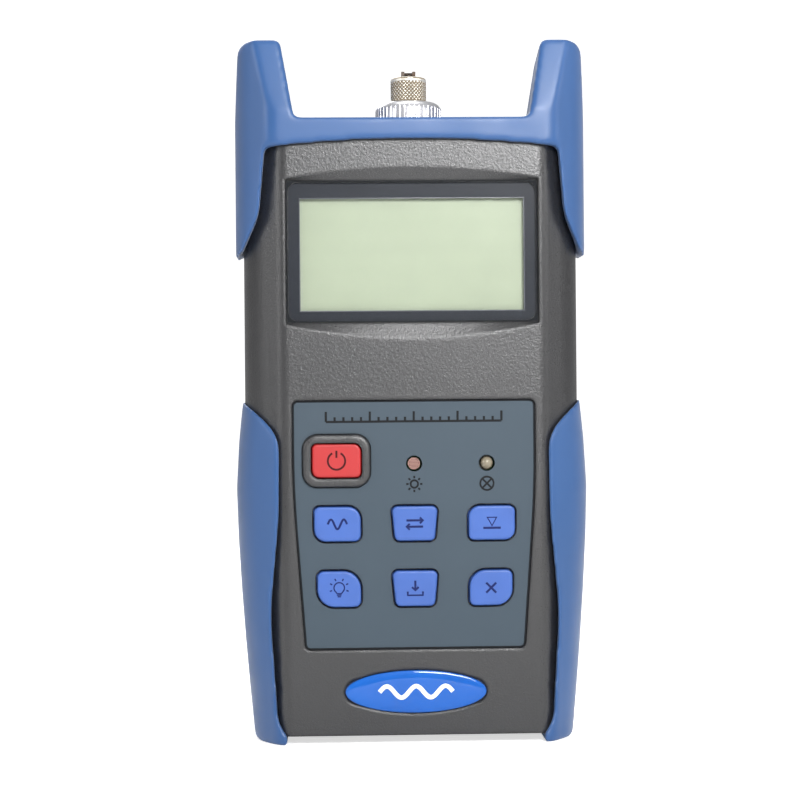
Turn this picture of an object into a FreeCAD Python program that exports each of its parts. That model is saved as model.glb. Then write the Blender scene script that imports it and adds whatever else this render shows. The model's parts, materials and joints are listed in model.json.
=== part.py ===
"""Handheld optical power meter, as a FreeCAD parametric document.

The meter stands upright: +Z runs up from the two feet, +X to the reader's right and the front
faces -Y.  The origin is the centre of the bottom of its bounding box.  All sizes are millimetres
and live in one spreadsheet; every sub-part is bound to its cells.
"""
import FreeCAD
import Part
import Sketcher
import math
import os
import re

# Driving dimensions, one row each: alias, value, meaning.
DIMENSIONS = [
    # Case: two shells that meet on the mid plane y = 0.
    ("case_half_width", 40.8, "half width of the shells at the waist"),
    ("case_foot_half_width", 36.8, "half width of the shells at their bottom end"),
    ("case_half_depth", 16.5, "mid plane to the flat of the front, and of the back"),
    ("case_shoulder", 8.5, "mid plane to where the flank turns into the side"),
    ("case_flat_half_width", 31.4, "half width of the flat front and back"),
    ("case_side_round", 14.0, "radius between flank and side"),
    ("case_edge_round", 4.0, "radius between flat and flank"),
    ("case_bottom", 2.1, "height of the bottom end above the feet"),
    ("case_flare_height", 58.8, "height where the taper ends and the waist begins"),
    ("case_top", 146.8, "height of the top end, under the bumper"),
    ("wall", 2.2, "wall of both shells"),
    # Case screws and their bosses.
    ("screw_half_pitch", 29.5, "screws to the centre line"),
    ("screw_low_height", 6.8, "lower pair of case screws"),
    ("screw_high_height", 140.3, "upper pair of case screws"),
    ("boss_radius", 3.2, "screw boss"),
    ("screw_radius", 1.5, "screw shank"),
    ("screw_gap", 0.05, "shank to its hole"),
    ("screw_reach", 8.0, "depth of the screw in the front shell"),
    ("screw_head_radius", 2.7, "screw head"),
    ("screw_head_height", 1.7, "screw head"),
    ("screw_sink", 3.0, "depth of the counterbore in the back"),
    ("screw_sink_radius", 3.0, "radius of the counterbore in the back"),
    ("boss_wall", 1.2, "wall round the counterbore"),
    ("screw_drive_radius", 1.1, "recess in the head"),
    ("screw_drive_depth", 1.0, "recess in the head"),
    # Top bumper: band, cheeks and the two horns.
    ("bumper_half_depth", 18.5, "half depth of the band and cheeks, the deepest piece"),
    ("bumper_half_width", 42.6, "half width of the band and cheeks"),
    ("bumper_flat_half_width", 34.0, "half width of the band's flat"),
    ("bumper_shoulder", 10.6, "mid plane to where the bumper's flank turns into its side"),
    ("bumper_side_round", 13.0, "radius between flank and side"),
    ("bumper_edge_round", 4.5, "radius between flat and flank"),
    ("bumper_low", 113.8, "height where the cheeks end"),
    ("deck_rise", 2.7, "top of the band and of the deck between the horns, above the case"),
    ("horn_tall", 19.0, "horns above the deck"),
    ("horn_top_half_depth", 15.0, "half depth of the horns at their tops"),
    ("horn_lean_start", 2.0, "height above the deck where the horns' faces start to lean back"),
    ("horn_top_half_width", 41.6, "half width over the horns at their tops"),
    ("horn_foot_half_gap", 27.8, "half gap between the horns at the deck"),
    ("horn_top_half_gap", 30.9, "half gap between the horn tops"),
    ("horn_draft", 2.4, "how much wider that gap is at the back than at the front"),
    ("horn_foot_round", 0.9, "radius from the horn to the deck"),
    ("horn_corner_round", 3.0, "outer top corner of a horn"),
    ("horn_edge_round", 1.1, "other edges of the horns and the band's top"),
    ("band_low_centre", 144.4, "lower edge of the band at the centre"),
    ("band_low_corner", 142.4, "lower edge of the band at the cheeks"),
    ("cheek_half_gap", 35.1, "cheek edge to the centre line under the band"),
    ("cheek_bend_half_gap", 36.6, "cheek edge where it turns out to its tip"),
    ("cheek_bend_height", 126.3, "height of that turn"),
    ("cheek_tip_half_gap", 40.6, "cheek edge at its tip"),
    ("cheek_tip_height", 118.4, "height of the tip's turn"),
    ("cheek_bend_round", 16.0, "radius of the turn out"),
    ("cheek_tip_round", 4.0, "radius of the turn at the tip"),
    # Side grips.
    ("grip_half_depth", 17.6, "half depth of the grips"),
    ("grip_flat_half_width", 32.6, "half width of the grips' flat"),
    ("grip_shoulder", 9.2, "mid plane to where the grip's flank turns into its side"),
    ("grip_side_round", 15.0, "radius between flank and side"),
    ("grip_edge_round", 4.6, "radius between flat and flank"),
    ("grip_foot_half_width", 38.8, "half width over the grips at the feet"),
    ("grip_wide_half_width", 43.0, "half width over the grips at their widest"),
    ("grip_wide_height", 60.8, "height of the widest place"),
    ("grip_tip_half_width", 41.0, "half width over the grips at their tips"),
    ("grip_tip_height", 84.8, "height of the tips"),
    ("grip_leaf_half_gap", 31.9, "grip edge where the leaf tip starts"),
    ("grip_leaf_height", 74.2, "height of that place"),
    ("grip_leaf_round", 11.0, "radius there"),
    ("grip_palm_half_gap", 32.3, "grip edge at its mid height"),
    ("grip_palm_height", 54.8, "height of that place"),
    ("grip_palm_round", 100.0, "radius there"),
    ("grip_waist_half_gap", 34.6, "grip edge where the grip is narrowest"),
    ("grip_waist_height", 30.8, "height of that place"),
    ("grip_waist_round", 60.0, "radius there"),
    ("grip_heel_half_gap", 32.9, "grip edge above the foot"),
    ("grip_heel_height", 5.5, "height of that place"),
    ("grip_heel_round", 5.0, "radius there"),
    ("foot_half_gap", 30.6, "inner end of the foot"),
    ("foot_round", 1.2, "outer corner of the foot"),
    # Display window.
    ("window_height", 117.7, "centre of the display window"),
    ("lens_width", 59.8, "display lens"),
    ("lens_tall", 33.6, "display lens"),
    ("lens_round", 2.5, "corner of the lens"),
    ("lens_thick", 1.0, "display lens"),
    ("lens_gap", 0.1, "lens to its seat, all round"),
    ("lens_sink", 1.3, "flat front to the face of the lens"),
    ("lens_ledge", 2.0, "ledge that the lens is glued to"),
    ("window_rim", 1.2, "thickness of that ledge"),
    ("recess_side", 0.5, "side slope of the recess, beyond the lens"),
    ("recess_top_centre", 3.2, "recess above the lens at the centre"),
    ("recess_top_corner", 0.6, "recess above the lens at its corners"),
    ("recess_low_centre", 4.2, "recess below the lens at the centre"),
    ("recess_low_corner", 0.6, "recess below the lens at its corners"),
    # Control panel.
    ("panel_top", 81.9, "top edge of the panel overlay"),
    ("panel_bottom", 22.8, "bottom edge of the panel overlay"),
    ("panel_half_width", 28.85, "half width of the overlay"),
    ("panel_bend_height", 60.8, "height where its sides start to lean in"),
    ("panel_bend_round", 250.0, "radius of that lean"),
    ("panel_low_half_width", 26.1, "half width of the overlay at its bottom edge"),
    ("panel_round", 1.2, "corner of the overlay"),
    ("panel_sink", 1.0, "depth of the seat for the overlay"),
    ("panel_groove", 0.3, "groove round the overlay"),
    ("overlay_thick", 0.5, "panel overlay"),
    # Keys.
    ("key_gap", 0.3, "key to the edge of its hole"),
    ("key_rim_gap", 0.55, "key to the edge of the overlay's hole"),
    ("key_lip", 0.8, "flange beyond the hole"),
    ("key_flange", 0.9, "thickness of the flange"),
    ("key_slack", 0.05, "flange to the wall above it"),
    ("key_travel", 0.9, "stroke of a key"),
    ("key_face", 16.95, "mid plane to the face of a blue key"),
    ("power_face", 17.1, "mid plane to the face of the power key"),
    ("key_round", 0.45, "rounded edge of a key's face"),
    ("key_column", 18.45, "outer columns to the centre line, upper row"),
    ("key_column_low", 18.15, "outer columns to the centre line, lower row"),
    ("key_row_high", 52.6, "upper row of keys"),
    ("key_row_low", 37.1, "lower row of keys"),
    ("power_height", 67.7, "centre of the power key"),
    ("power_column", 18.55, "power key to the centre line"),
    ("collar_width", 16.2, "raised collar round the power key"),
    ("collar_tall", 12.6, "raised collar round the power key"),
    ("collar_corner", 3.6, "corner of the collar"),
    ("collar_face", 17.3, "mid plane to the top of the collar"),
    ("collar_round", 0.8, "rounded edge of the collar"),
    ("collar_gap", 0.2, "collar to the overlay"),
    ("lamp_height", 66.9, "height of the light sensor and the lamp"),
    ("lamp_column", 17.4, "lamp to the centre line"),
    ("lamp_radius", 1.5, "lamp dome"),
    ("lamp_hole_radius", 1.93, "holes for the lamp and the light sensor"),
    ("lamp_flange_radius", 1.75, "flange of the lamp"),
    ("lamp_flange_thick", 1.0, "flange of the lamp"),
    ("lamp_face", 16.6, "mid plane to the top of the lamp"),
    ("sensor_radius", 1.45, "light sensor disc"),
    ("sensor_thick", 1.6, "light sensor disc"),
    ("sensor_sink", 1.1, "overlay to the face of the light sensor"),
    ("sensor_leg_radius", 0.3, "legs of the light sensor"),
    # Badge.
    ("badge_height", 12.5, "centre of the oval badge"),
    ("badge_width", 33.6, "oval badge"),
    ("badge_tall", 10.1, "oval badge"),
    ("badge_thick", 1.4, "oval badge"),
    ("badge_dome", 0.5, "how far its dome rises from its rim"),
    ("badge_sink", 0.7, "depth of its seat"),
    ("badge_gap", 0.25, "badge to its seat"),
    # Electronics.
    ("mat_thick", 0.8, "keypad mat"),
    ("mat_half_width", 25.8, "keypad mat"),
    ("mat_low", 29.3, "lower end of the mat"),
    ("mat_high", 74.8, "upper end of the mat"),
    ("mat_hole_radius", 2.3, "holes of the mat for the lamp and the light sensor"),
    ("dome_radius", 3.4, "rubber dome under each key"),
    ("dome_tall", 0.4, "rubber dome under each key"),
    ("dome_gap", 0.2, "dome to a key that is pressed home"),
    ("board_thick", 1.6, "circuit board"),
    ("board_half_width", 29.5, "circuit board"),
    ("board_low", 12.8, "lower end of the board"),
    ("board_high", 135.3, "upper end of the board"),
    ("board_screw_column", 27.0, "board screws to the centre line"),
    ("board_screw_low", 17.8, "lower board screws"),
    ("board_screw_high", 91.3, "upper board screws"),
    ("board_boss_radius", 2.2, "boss under the board"),
    ("board_screw_radius", 1.0, "board screw shank"),
    ("board_screw_reach", 2.6, "board screw in its boss"),
    ("board_head_radius", 1.9, "board screw head"),
    ("board_head_height", 1.4, "board screw head"),
    ("board_drive_depth", 0.8, "recess in a board screw's head"),
    ("chip_half", 5.0, "half side of the controller chip"),
    ("chip_tall", 1.5, "height of the chips on the board"),
    ("column_step", 15.0, "chips to the centre line"),
    ("row_low", 36.8, "height of the lower chips"),
    ("row_middle", 66.8, "height of the controller and the converter"),
    ("row_high", 131.3, "height of the amplifier beside the detector"),
    ("buzzer_radius", 6.0, "buzzer"),
    ("buzzer_tall", 4.0, "buzzer"),
    ("glass_width", 56.4, "liquid crystal cell"),
    ("glass_tall", 30.6, "liquid crystal cell"),
    ("glass_thick", 1.2, "liquid crystal cell"),
    ("glass_gap", 0.1, "cell to the rim in front of it"),
    ("frame_rim", 1.2, "rim of the frame round the cell"),
    ("frame_gap", 0.1, "cell to its frame"),
    ("strip_thick", 1.4, "contact strip under the cell"),
    # Battery bay, cells, contacts and door.
    ("cell_radius", 7.25, "AA cell"),
    ("cell_length", 50.5, "AA cell with its nub"),
    ("cell_nub_radius", 2.75, "nub of a cell"),
    ("cell_nub_height", 1.3, "nub of a cell"),
    ("cell_gap", 0.4, "between two cells"),
    ("cell_seat_gap", 0.05, "cell to the floor of the bay"),
    ("bay_floor", -0.3, "floor of the bay, behind the mid plane"),
    ("bay_wall", 1.3, "walls of the bay"),
    ("bay_low", 16.3, "lower end of the bay"),
    ("bay_clearance", 1.0, "cells to the sides of the bay"),
    ("contact_thick", 0.4, "contact plates"),
    ("contact_gap", 0.05, "contact plate to the bay's end"),
    ("contact_rise", 3.0, "leaf of the lower contacts"),
    ("contact_half_width", 5.0, "contact plates"),
    ("door_half_width", 27.0, "battery door"),
    ("door_low", 10.0, "lower edge of the door"),
    ("door_high", 77.4, "upper edge of the door"),
    ("door_round", 3.0, "corner of the door"),
    ("door_thick", 1.8, "battery door"),
    ("door_gap", 0.2, "door to its opening"),
    ("door_frame", 3.0, "frame beyond the door's opening"),
    ("door_frame_thick", 2.0, "frame behind the door's ledge"),
    ("tab_column", 14.0, "door tabs to the centre line"),
    ("tab_half_width", 4.0, "door tabs"),
    ("tab_reach", 2.3, "tab beyond the door's lower edge"),
    ("tab_thick", 1.2, "door tabs"),
    ("tab_under", 0.2, "tab to the wall above it"),
    ("tab_riser", 1.5, "leg that joins a tab to the door"),
    ("tab_slot_gap", 0.5, "slot beyond a tab on each side"),
    ("tab_slot_low", 1.4, "slot beyond the tab's end"),
    ("tab_slot_high", 4.0, "slot above the door's lower edge"),
    ("tab_slot_depth", 5.4, "slot from the back's flat"),
    ("thumb_half_width", 6.0, "thumb tongue of the door"),
    ("thumb_reach", 2.0, "thumb tongue beyond the door's upper edge"),
    ("thumb_round", 1.0, "corner of the thumb tongue"),
    ("rib_half_width", 8.0, "finger ribs on the door"),
    ("rib_tall", 0.9, "finger ribs on the door"),
    ("rib_pitch", 2.0, "finger ribs on the door"),
    ("rib_proud", 0.3, "finger ribs on the door"),
    ("rib_count", 4, "finger ribs on the door"),
    # Optical port.
    ("port_hole_radius", 8.5, "hole in the deck for the ring"),
    ("ring_radius", 8.2, "fluted ring"),
    ("ring_drop", 2.6, "lower face of the ring, below the deck"),
    ("ring_side_rise", 3.7, "where the ring's dome starts, above the deck"),
    ("ring_rise", 5.8, "top of the ring, above the deck"),
    ("ring_top_radius", 5.3, "top of the ring"),
    ("flute_count", 44, "flutes round the ring"),
    ("flute_radius", 0.33, "flute"),
    ("flute_out", 0.1, "centre of a flute beyond the ring"),
    ("nose_radius", 3.9, "threaded nose of the sleeve, over its thread"),
    ("nose_rise", 10.7, "top of the nose, above the deck"),
    ("nose_cup_radius", 2.9, "mouth of the nose"),
    ("nose_cup_depth", 3.5, "mouth of the nose"),
    ("ferrule_radius", 1.25, "bore for the ferrule"),
    ("sleeve_flange_radius", 6.0, "flange of the sleeve"),
    ("sleeve_flange_thick", 1.6, "flange of the sleeve"),
    ("ring_gap", 0.05, "ring to the sleeve"),
    ("housing_radius", 7.0, "detector housing, inside the ring"),
    ("housing_drop", 13.2, "lower end of the detector housing, below the deck"),
    ("housing_flange_radius", 9.5, "flange that the shells clamp"),
    ("housing_flange_thick", 1.8, "flange that the shells clamp"),
    ("housing_thread_gap", 0.05, "housing to the ring"),
    ("housing_rise", 0.7, "top of the detector housing, above the deck"),
    ("aperture_radius", 2.0, "light way from the sleeve to the photodiode"),
    ("shelf_thick", 1.6, "shelf that holds the housing's flange"),
    ("shelf_half_width", 12.0, "shelf that holds the housing's flange"),
    ("clamp_gap", 0.05, "housing to the shells"),
    ("diode_radius", 2.7, "photodiode can"),
    ("diode_tall", 3.6, "photodiode can"),
    ("diode_flange_tall", 1.0, "photodiode flange"),
    ("diode_drop", 2.6, "top of the photodiode can, below the deck"),
    ("diode_flange_radius", 3.1, "photodiode flange"),
    ("diode_gap", 0.05, "photodiode to its seat"),
    # Dust cap.
    ("cap_radius", 4.45, "dust cap"),
    ("cap_gap", 0.1, "cap to the nose"),
    ("cap_rim_rise", 6.0, "lower rim of the cap, above the deck"),
    ("cap_rise", 12.0, "top of the cap, above the deck"),
    ("cap_round", 0.8, "shoulder of the cap"),
    ("cap_crown_gap", 0.2, "nose to the crown of the cap"),
    ("cap_post_radius", 0.8, "hole for the swivel post"),
    ("post_gap", 0.05, "swivel post to its hole"),
    ("eye_plate_radius", 1.75, "swivel eye"),
    ("eye_plate_thick", 0.4, "swivel eye"),
    ("eye_tall", 1.5, "ears of the eye"),
    ("eye_half_width", 1.75, "ears of the eye"),
    ("eye_ear_thick", 0.8, "ears of the eye"),
    ("eye_half_depth", 0.9, "ears of the eye"),
    ("eye_pin_radius", 0.35, "pin of the eye"),
    ("eye_pin_height", 0.93, "pin above the eye's plate"),
    ("eye_lift", 0.1, "eye to the crown of the cap"),
    ("eye_rivet_radius", 1.3, "rivet head inside the cap"),
    ("eye_rivet_thick", 0.3, "rivet head inside the cap"),
]

# Sizes of each key: width at its top and at its bottom edge, height, and the radii of its four
# corners, from the upper left by the right.
KEY_PARTS = ("top", "foot", "tall", "upper_left", "upper_right", "lower_right", "lower_left")
KEY_SIZES = {
    "power": (11.7, 11.7, 8.0, 1.2, 1.8, 1.3, 1.8),
    "wave": (11.0, 11.0, 8.2, 1.3, 3.0, 1.6, 2.8),
    "units": (11.0, 9.4, 8.2, 1.3, 1.3, 1.3, 1.3),
    "reference": (11.0, 11.0, 8.1, 2.7, 1.4, 2.5, 1.3),
    "light": (10.3, 10.3, 8.5, 1.6, 4.2, 1.6, 4.2),
    "save": (10.9, 9.2, 8.4, 1.3, 1.3, 1.3, 1.3),
    "delete": (10.2, 10.2, 8.4, 3.9, 1.4, 3.9, 1.4),
}
for key_name, key_sizes in KEY_SIZES.items():
    for part_name, size in zip(KEY_PARTS, key_sizes):
        DIMENSIONS.append((f"{key_name}_{part_name}", size, f"{key_name} key, {part_name}"))

ALIASES = {row[0] for row in DIMENSIONS}
FRONT = "XZ_Plane"
LEVEL = "XY_Plane"
SIDE = "YZ_Plane"

doc = FreeCAD.newDocument("optical_power_meter")
sheet = doc.addObject("Spreadsheet::Sheet", "dims")
for row_number, (alias, number, meaning) in enumerate(DIMENSIONS, start=1):
    sheet.set(f"A{row_number}", meaning)
    sheet.set(f"B{row_number}", str(number))
    sheet.setAlias(f"B{row_number}", alias)
doc.recompute()

nodes = []


# ---------------------------------------------------------------- helpers

def sized(text):
    """The expression in text with every alias turned into a reference to the sheet."""
    return re.sub(r"[a-z][a-z_]*", lambda m: f"dims.{m[0]}" if m[0] in ALIASES else m[0], text)


def value(text):
    """The number that an expression has now."""
    return float(sheet.evalExpression(sized(text)))


def bind(thing, path, text):
    """Ties a property of thing to an expression."""
    thing.setExpression(path, sized(text))


def keep(thing, label):
    """Names a finished sub-part and lists it for export."""
    thing.Label = label
    nodes.append(thing)
    return thing


def new_body(name):
    """A PartDesign body that is one sub-part of the meter."""
    return keep(doc.addObject("PartDesign::Body", name), name)


def new_sketch(body, name, plane, offset="0"):
    """A sketch on one of the body's origin planes, moved along that plane's normal."""
    sketch = body.newObject("Sketcher::SketchObject", f"{body.Name}_{name}")
    base = next(f for f in body.Origin.OriginFeatures if f.Role == plane)
    sketch.AttachmentSupport = [(base, "")]
    sketch.MapMode = "FlatFace"
    bind(sketch, "AttachmentOffset.Base.z", offset)
    return sketch


def pin_point(sketch, geometry, end, place):
    """Fixes one point of a sketch by the two expressions of its place."""
    for kind, text in zip(("DistanceX", "DistanceY"), place):
        index = sketch.addConstraint(Sketcher.Constraint(kind, -1, 1, geometry, end, value(text)))
        bind(sketch, f"Constraints[{index}]", text)


def circle(sketch, x, y, radius):
    """A circle in a sketch."""
    centre = FreeCAD.Vector(value(x), value(y), 0)
    index = sketch.addGeometry(Part.Circle(centre, FreeCAD.Vector(0, 0, 1), value(radius)))
    pin_point(sketch, index, 3, (x, y))
    size = sketch.addConstraint(Sketcher.Constraint("Radius", index, value(radius)))
    bind(sketch, f"Constraints[{size}]", radius)


def outline(sketch, corners):
    """A closed outline through corners: (x, y), (x, y, radius), or (x, y, None, (x, y)) where a
    sharp corner's next side is an arc through the last point."""
    count = len(corners)
    spots = [FreeCAD.Vector(value(c[0]), value(c[1]), 0) for c in corners]
    rounds = [value(c[2]) if len(c) > 2 and c[2] else 0 for c in corners]
    starts, ends, arcs = [], [], []
    for i, spot in enumerate(spots):
        if not rounds[i]:
            starts.append(spot)
            ends.append(spot)
            arcs.append(None)
            continue
        back = (spots[i - 1] - spot).normalize()
        ahead = (spots[(i + 1) % count] - spot).normalize()
        half = back.getAngle(ahead) / 2
        run = rounds[i] / math.tan(half)
        starts.append(spot + back * run)
        ends.append(spot + ahead * run)
        centre = spot + (back + ahead).normalize() * (rounds[i] / math.sin(half))
        left = back.cross(ahead).z < 0
        first, last = (starts[i], ends[i]) if left else (ends[i], starts[i])
        angles = [math.atan2(p.y - centre.y, p.x - centre.x) for p in (first, last)]
        curve = Part.ArcOfCircle(Part.Circle(centre, FreeCAD.Vector(0, 0, 1), rounds[i]), *angles)
        arcs.append((sketch.addGeometry(curve), left))
    sides = []
    for i in range(count):
        start, end = ends[i], starts[(i + 1) % count]
        if len(corners[i]) > 3:
            middle = FreeCAD.Vector(value(corners[i][3][0]), value(corners[i][3][1]), 0)
            bow = Part.Arc(start, middle, end)
            index = sketch.addGeometry(bow)
            turned = (sketch.getPoint(index, 1) - start).Length > (sketch.getPoint(index, 2) - start).Length
            sides.append((index, 2, 1) if turned else (index, 1, 2))
            dot = sketch.addGeometry(Part.Point(middle), True)
            pin_point(sketch, dot, 1, corners[i][3])
            sketch.addConstraint(Sketcher.Constraint("PointOnObject", dot, 1, index))
        else:
            sides.append((sketch.addGeometry(Part.LineSegment(start, end)), 1, 2))
    for i, corner in enumerate(corners):
        before, after = sides[i - 1], sides[i]
        if arcs[i] is None:
            sketch.addConstraint(Sketcher.Constraint("Coincident", before[0], before[2], after[0], after[1]))
            pin_point(sketch, after[0], after[1], corner[:2])
            continue
        arc, left = arcs[i]
        near, far = (1, 2) if left else (2, 1)
        sketch.addConstraint(Sketcher.Constraint("Tangent", before[0], before[2], arc, near))
        sketch.addConstraint(Sketcher.Constraint("Tangent", arc, far, after[0], after[1]))
        size = sketch.addConstraint(Sketcher.Constraint("Radius", arc, rounds[i]))
        bind(sketch, f"Constraints[{size}]", corner[2])
        dot = sketch.addGeometry(Part.Point(spots[i]), True)
        pin_point(sketch, dot, 1, corner[:2])
        sketch.addConstraint(Sketcher.Constraint("PointOnObject", dot, 1, before[0]))
        sketch.addConstraint(Sketcher.Constraint("PointOnObject", dot, 1, after[0]))


def rectangle(sketch, left, right, low, high, radius=None):
    """A rectangle, with round corners where a radius is given."""
    tail = (radius,) if radius else ()
    outline(sketch, [(left, low) + tail, (right, low) + tail, (right, high) + tail, (left, high) + tail])


def feature(body, kind, name, sketch):
    """A sketch-based PartDesign feature."""
    made = body.newObject(f"PartDesign::{kind}", f"{body.Name}_{name}")
    made.Profile = sketch
    return made


def pad(body, name, sketch, length):
    """Adds material from the sketch along its normal."""
    made = feature(body, "Pad", name, sketch)
    bind(made, "Length", length)
    return made


def pocket(body, name, sketch, length, along=False):
    """Removes material from the sketch against its normal, or along it."""
    made = feature(body, "Pocket", name, sketch)
    bind(made, "Length", length)
    made.Reversed = along
    return made


def loft(body, name, sketches, cut=False):
    """Adds, or cuts away, the ruled loft through the sketches; one that comes out inside out is
    lofted from its other end."""
    made = feature(body, "SubtractiveLoft" if cut else "AdditiveLoft", name, sketches[0])
    made.Sections = sketches[1:]
    made.Ruled = True
    doc.recompute()
    if made.AddSubShape.Volume < 0:
        made.Profile = sketches[-1]
        made.Sections = sketches[-2::-1]
    return made


def turned(body, name, profile, cut=False):
    """Turns a profile about the body's Z axis; the profile lists (radius, height)."""
    sketch = new_sketch(body, f"{name}_profile", FRONT)
    outline(sketch, profile)
    made = feature(body, "Groove" if cut else "Revolution", name, sketch)
    made.ReferenceAxis = (sketch, ["V_Axis"])
    made.Angle = 360
    return made


def soften(body, name, radius, chosen):
    """Rounds the edges of the body that the test picks, by the edge and the faces at it."""
    doc.recompute()
    base = body.Tip
    shape = base.Shape
    names = [f"Edge{i}" for i, edge in enumerate(shape.Edges, start=1)
             if chosen(edge, shape.ancestorsOfType(edge, Part.Face))]
    if not names:
        raise RuntimeError(f"{body.Label}: no edge to round for {name}")
    made = body.newObject("PartDesign::Fillet", f"{body.Name}_{name}")
    made.Base = (base, names)
    bind(made, "Radius", radius)
    doc.recompute()
    return made


def box(name, x, y, z):
    """A Part box; each argument is a pair of expressions, from and to."""
    made = doc.addObject("Part::Box", name)
    for size, axis, span in zip(("Length", "Width", "Height"), "xyz", (x, y, z)):
        bind(made, size, f"({span[1]}) - ({span[0]})")
        bind(made, f"Placement.Base.{axis}", span[0])
    return made


def rod(name, radius, length, place, axis="z"):
    """A Part cylinder from place along an axis: z, or y towards the back."""
    made = doc.addObject("Part::Cylinder", name)
    bind(made, "Radius", radius)
    bind(made, "Height", length)
    if axis == "y":
        made.Placement.Rotation = FreeCAD.Rotation(FreeCAD.Vector(1, 0, 0), -90)
    if axis == "x":
        made.Placement.Rotation = FreeCAD.Rotation(FreeCAD.Vector(0, 1, 0), 90)
    for letter, text in zip("xyz", place):
        bind(made, f"Placement.Base.{letter}", text)
    return made


def fuse(name, parts):
    """The union of Part objects."""
    made = doc.addObject("Part::MultiFuse", name)
    made.Shapes = parts
    return made


def cut(name, base, tool):
    """Base without tool."""
    made = doc.addObject("Part::Cut", name)
    made.Base = base
    made.Tool = tool
    return made


def group(label, parts):
    """Several separate solids that are one node."""
    made = doc.addObject("Part::Compound", label)
    made.Links = parts
    return keep(made, label)


def along(edge, axis):
    """Whether the edge's middle tangent is near an axis, as 'x', 'y' or 'z'."""
    middle = (edge.FirstParameter + edge.LastParameter) / 2
    tangent = edge.tangentAt(middle)
    return abs(getattr(tangent, axis)) > 0.9 * tangent.Length


def spread(edge):
    """The bounding box of an edge."""
    return edge.BoundBox


# ---------------------------------------------------------------- shared outlines

def half_section(body, name, offset, side, depth, flat, shoulder, rounds, sign):
    """Half a section of the case: side, flank, flat, flank, side, closed on the mid plane."""
    sketch = new_sketch(body, name, LEVEL, offset)
    outline(sketch, [
        (f"-({side})", "0"),
        (f"-({side})", f"{sign} * ({shoulder})", rounds[0]),
        (f"-({flat})", f"{sign} * ({depth})", rounds[1]),
        (flat, f"{sign} * ({depth})", rounds[1]),
        (side, f"{sign} * ({shoulder})", rounds[0]),
        (side, "0"),
    ])
    return sketch


def full_section(body, name, offset, side, depth, flat, shoulder, rounds):
    """A whole section of the case or the bumper, front and back alike."""
    sketch = new_sketch(body, name, LEVEL, offset)
    outline(sketch, [
        (f"-({side})", f"-({shoulder})", rounds[0]),
        (f"-({flat})", f"-({depth})", rounds[1]),
        (flat, f"-({depth})", rounds[1]),
        (side, f"-({shoulder})", rounds[0]),
        (side, shoulder, rounds[0]),
        (flat, depth, rounds[1]),
        (f"-({flat})", depth, rounds[1]),
        (f"-({side})", shoulder, rounds[0]),
    ])
    return sketch


CASE_ROUNDS = ("case_side_round", "case_edge_round")
# Stations of the case: name, height, half width.
CASE_STATIONS = [
    ("foot", "case_bottom", "case_foot_half_width"),
    ("flare", "case_flare_height", "case_half_width"),
    ("top", "case_top", "case_half_width"),
]


def case_space(body):
    """Cuts the outer form of the closed case out of a body that wraps it."""
    loft(body, "case_space", [
        full_section(body, f"case_{name}", height, side, "case_half_depth", "case_flat_half_width",
                     "case_shoulder", CASE_ROUNDS)
        for name, height, side in CASE_STATIONS
    ], cut=True)


def shell_form(body, sign):
    """The hollow half case on one side of the mid plane."""
    loft(body, "form", [
        half_section(body, f"outer_{name}", height, side, "case_half_depth", "case_flat_half_width",
                     "case_shoulder", CASE_ROUNDS, sign)
        for name, height, side in CASE_STATIONS
    ])
    inner = [("foot", "case_bottom + wall", "case_foot_half_width - wall"),
             ("flare", "case_flare_height", "case_half_width - wall"),
             ("top", "case_top - wall", "case_half_width - wall")]
    loft(body, "hollow", [
        half_section(body, f"inner_{name}", height, side, "case_half_depth - wall",
                     "case_flat_half_width - wall / 2", "case_shoulder - wall / 2",
                     ("case_side_round - wall", "case_edge_round - wall"), sign)
        for name, height, side in inner
    ], cut=True)


def panel_outline(sketch, grow):
    """The outline of the control panel, grown all round."""
    outline(sketch, [
        (f"-(panel_low_half_width + {grow})", f"panel_bottom - {grow}", f"panel_round + {grow}"),
        (f"panel_low_half_width + {grow}", f"panel_bottom - {grow}", f"panel_round + {grow}"),
        (f"panel_half_width + {grow}", "panel_bend_height", "panel_bend_round"),
        (f"panel_half_width + {grow}", f"panel_top + {grow}", f"panel_round + {grow}"),
        (f"-(panel_half_width + {grow})", f"panel_top + {grow}", f"panel_round + {grow}"),
        (f"-(panel_half_width + {grow})", "panel_bend_height", "panel_bend_round"),
    ])


# Keys: name, place across, place up, level of the face.
KEYS = [
    ("power", "-power_column", "power_height", "power_face"),
    ("wave", "-key_column", "key_row_high", "key_face"),
    ("units", "0", "key_row_high", "key_face"),
    ("reference", "key_column", "key_row_high", "key_face"),
    ("light", "-key_column_low", "key_row_low", "key_face"),
    ("save", "0", "key_row_low", "key_face"),
    ("delete", "key_column_low", "key_row_low", "key_face"),
]


def key_outline(sketch, name, x, z, grow):
    """The outline of a key, grown all round."""
    top, foot, half = f"{name}_top / 2 + {grow}", f"{name}_foot / 2 + {grow}", f"{name}_tall / 2 + {grow}"
    outline(sketch, [
        (f"{x} - ({top})", f"{z} + {half}", f"{name}_upper_left + {grow}"),
        (f"{x} + {top}", f"{z} + {half}", f"{name}_upper_right + {grow}"),
        (f"{x} + {foot}", f"{z} - ({half})", f"{name}_lower_right + {grow}"),
        (f"{x} - ({foot})", f"{z} - ({half})", f"{name}_lower_left + {grow}"),
    ])


def collar_outline(sketch, grow):
    """The outline of the collar round the power key, grown all round."""
    rectangle(sketch, f"-power_column - collar_width / 2 - {grow}", f"-power_column + collar_width / 2 + {grow}",
              f"power_height - collar_tall / 2 - {grow}", f"power_height + collar_tall / 2 + {grow}",
              f"collar_corner + {grow}")


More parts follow.
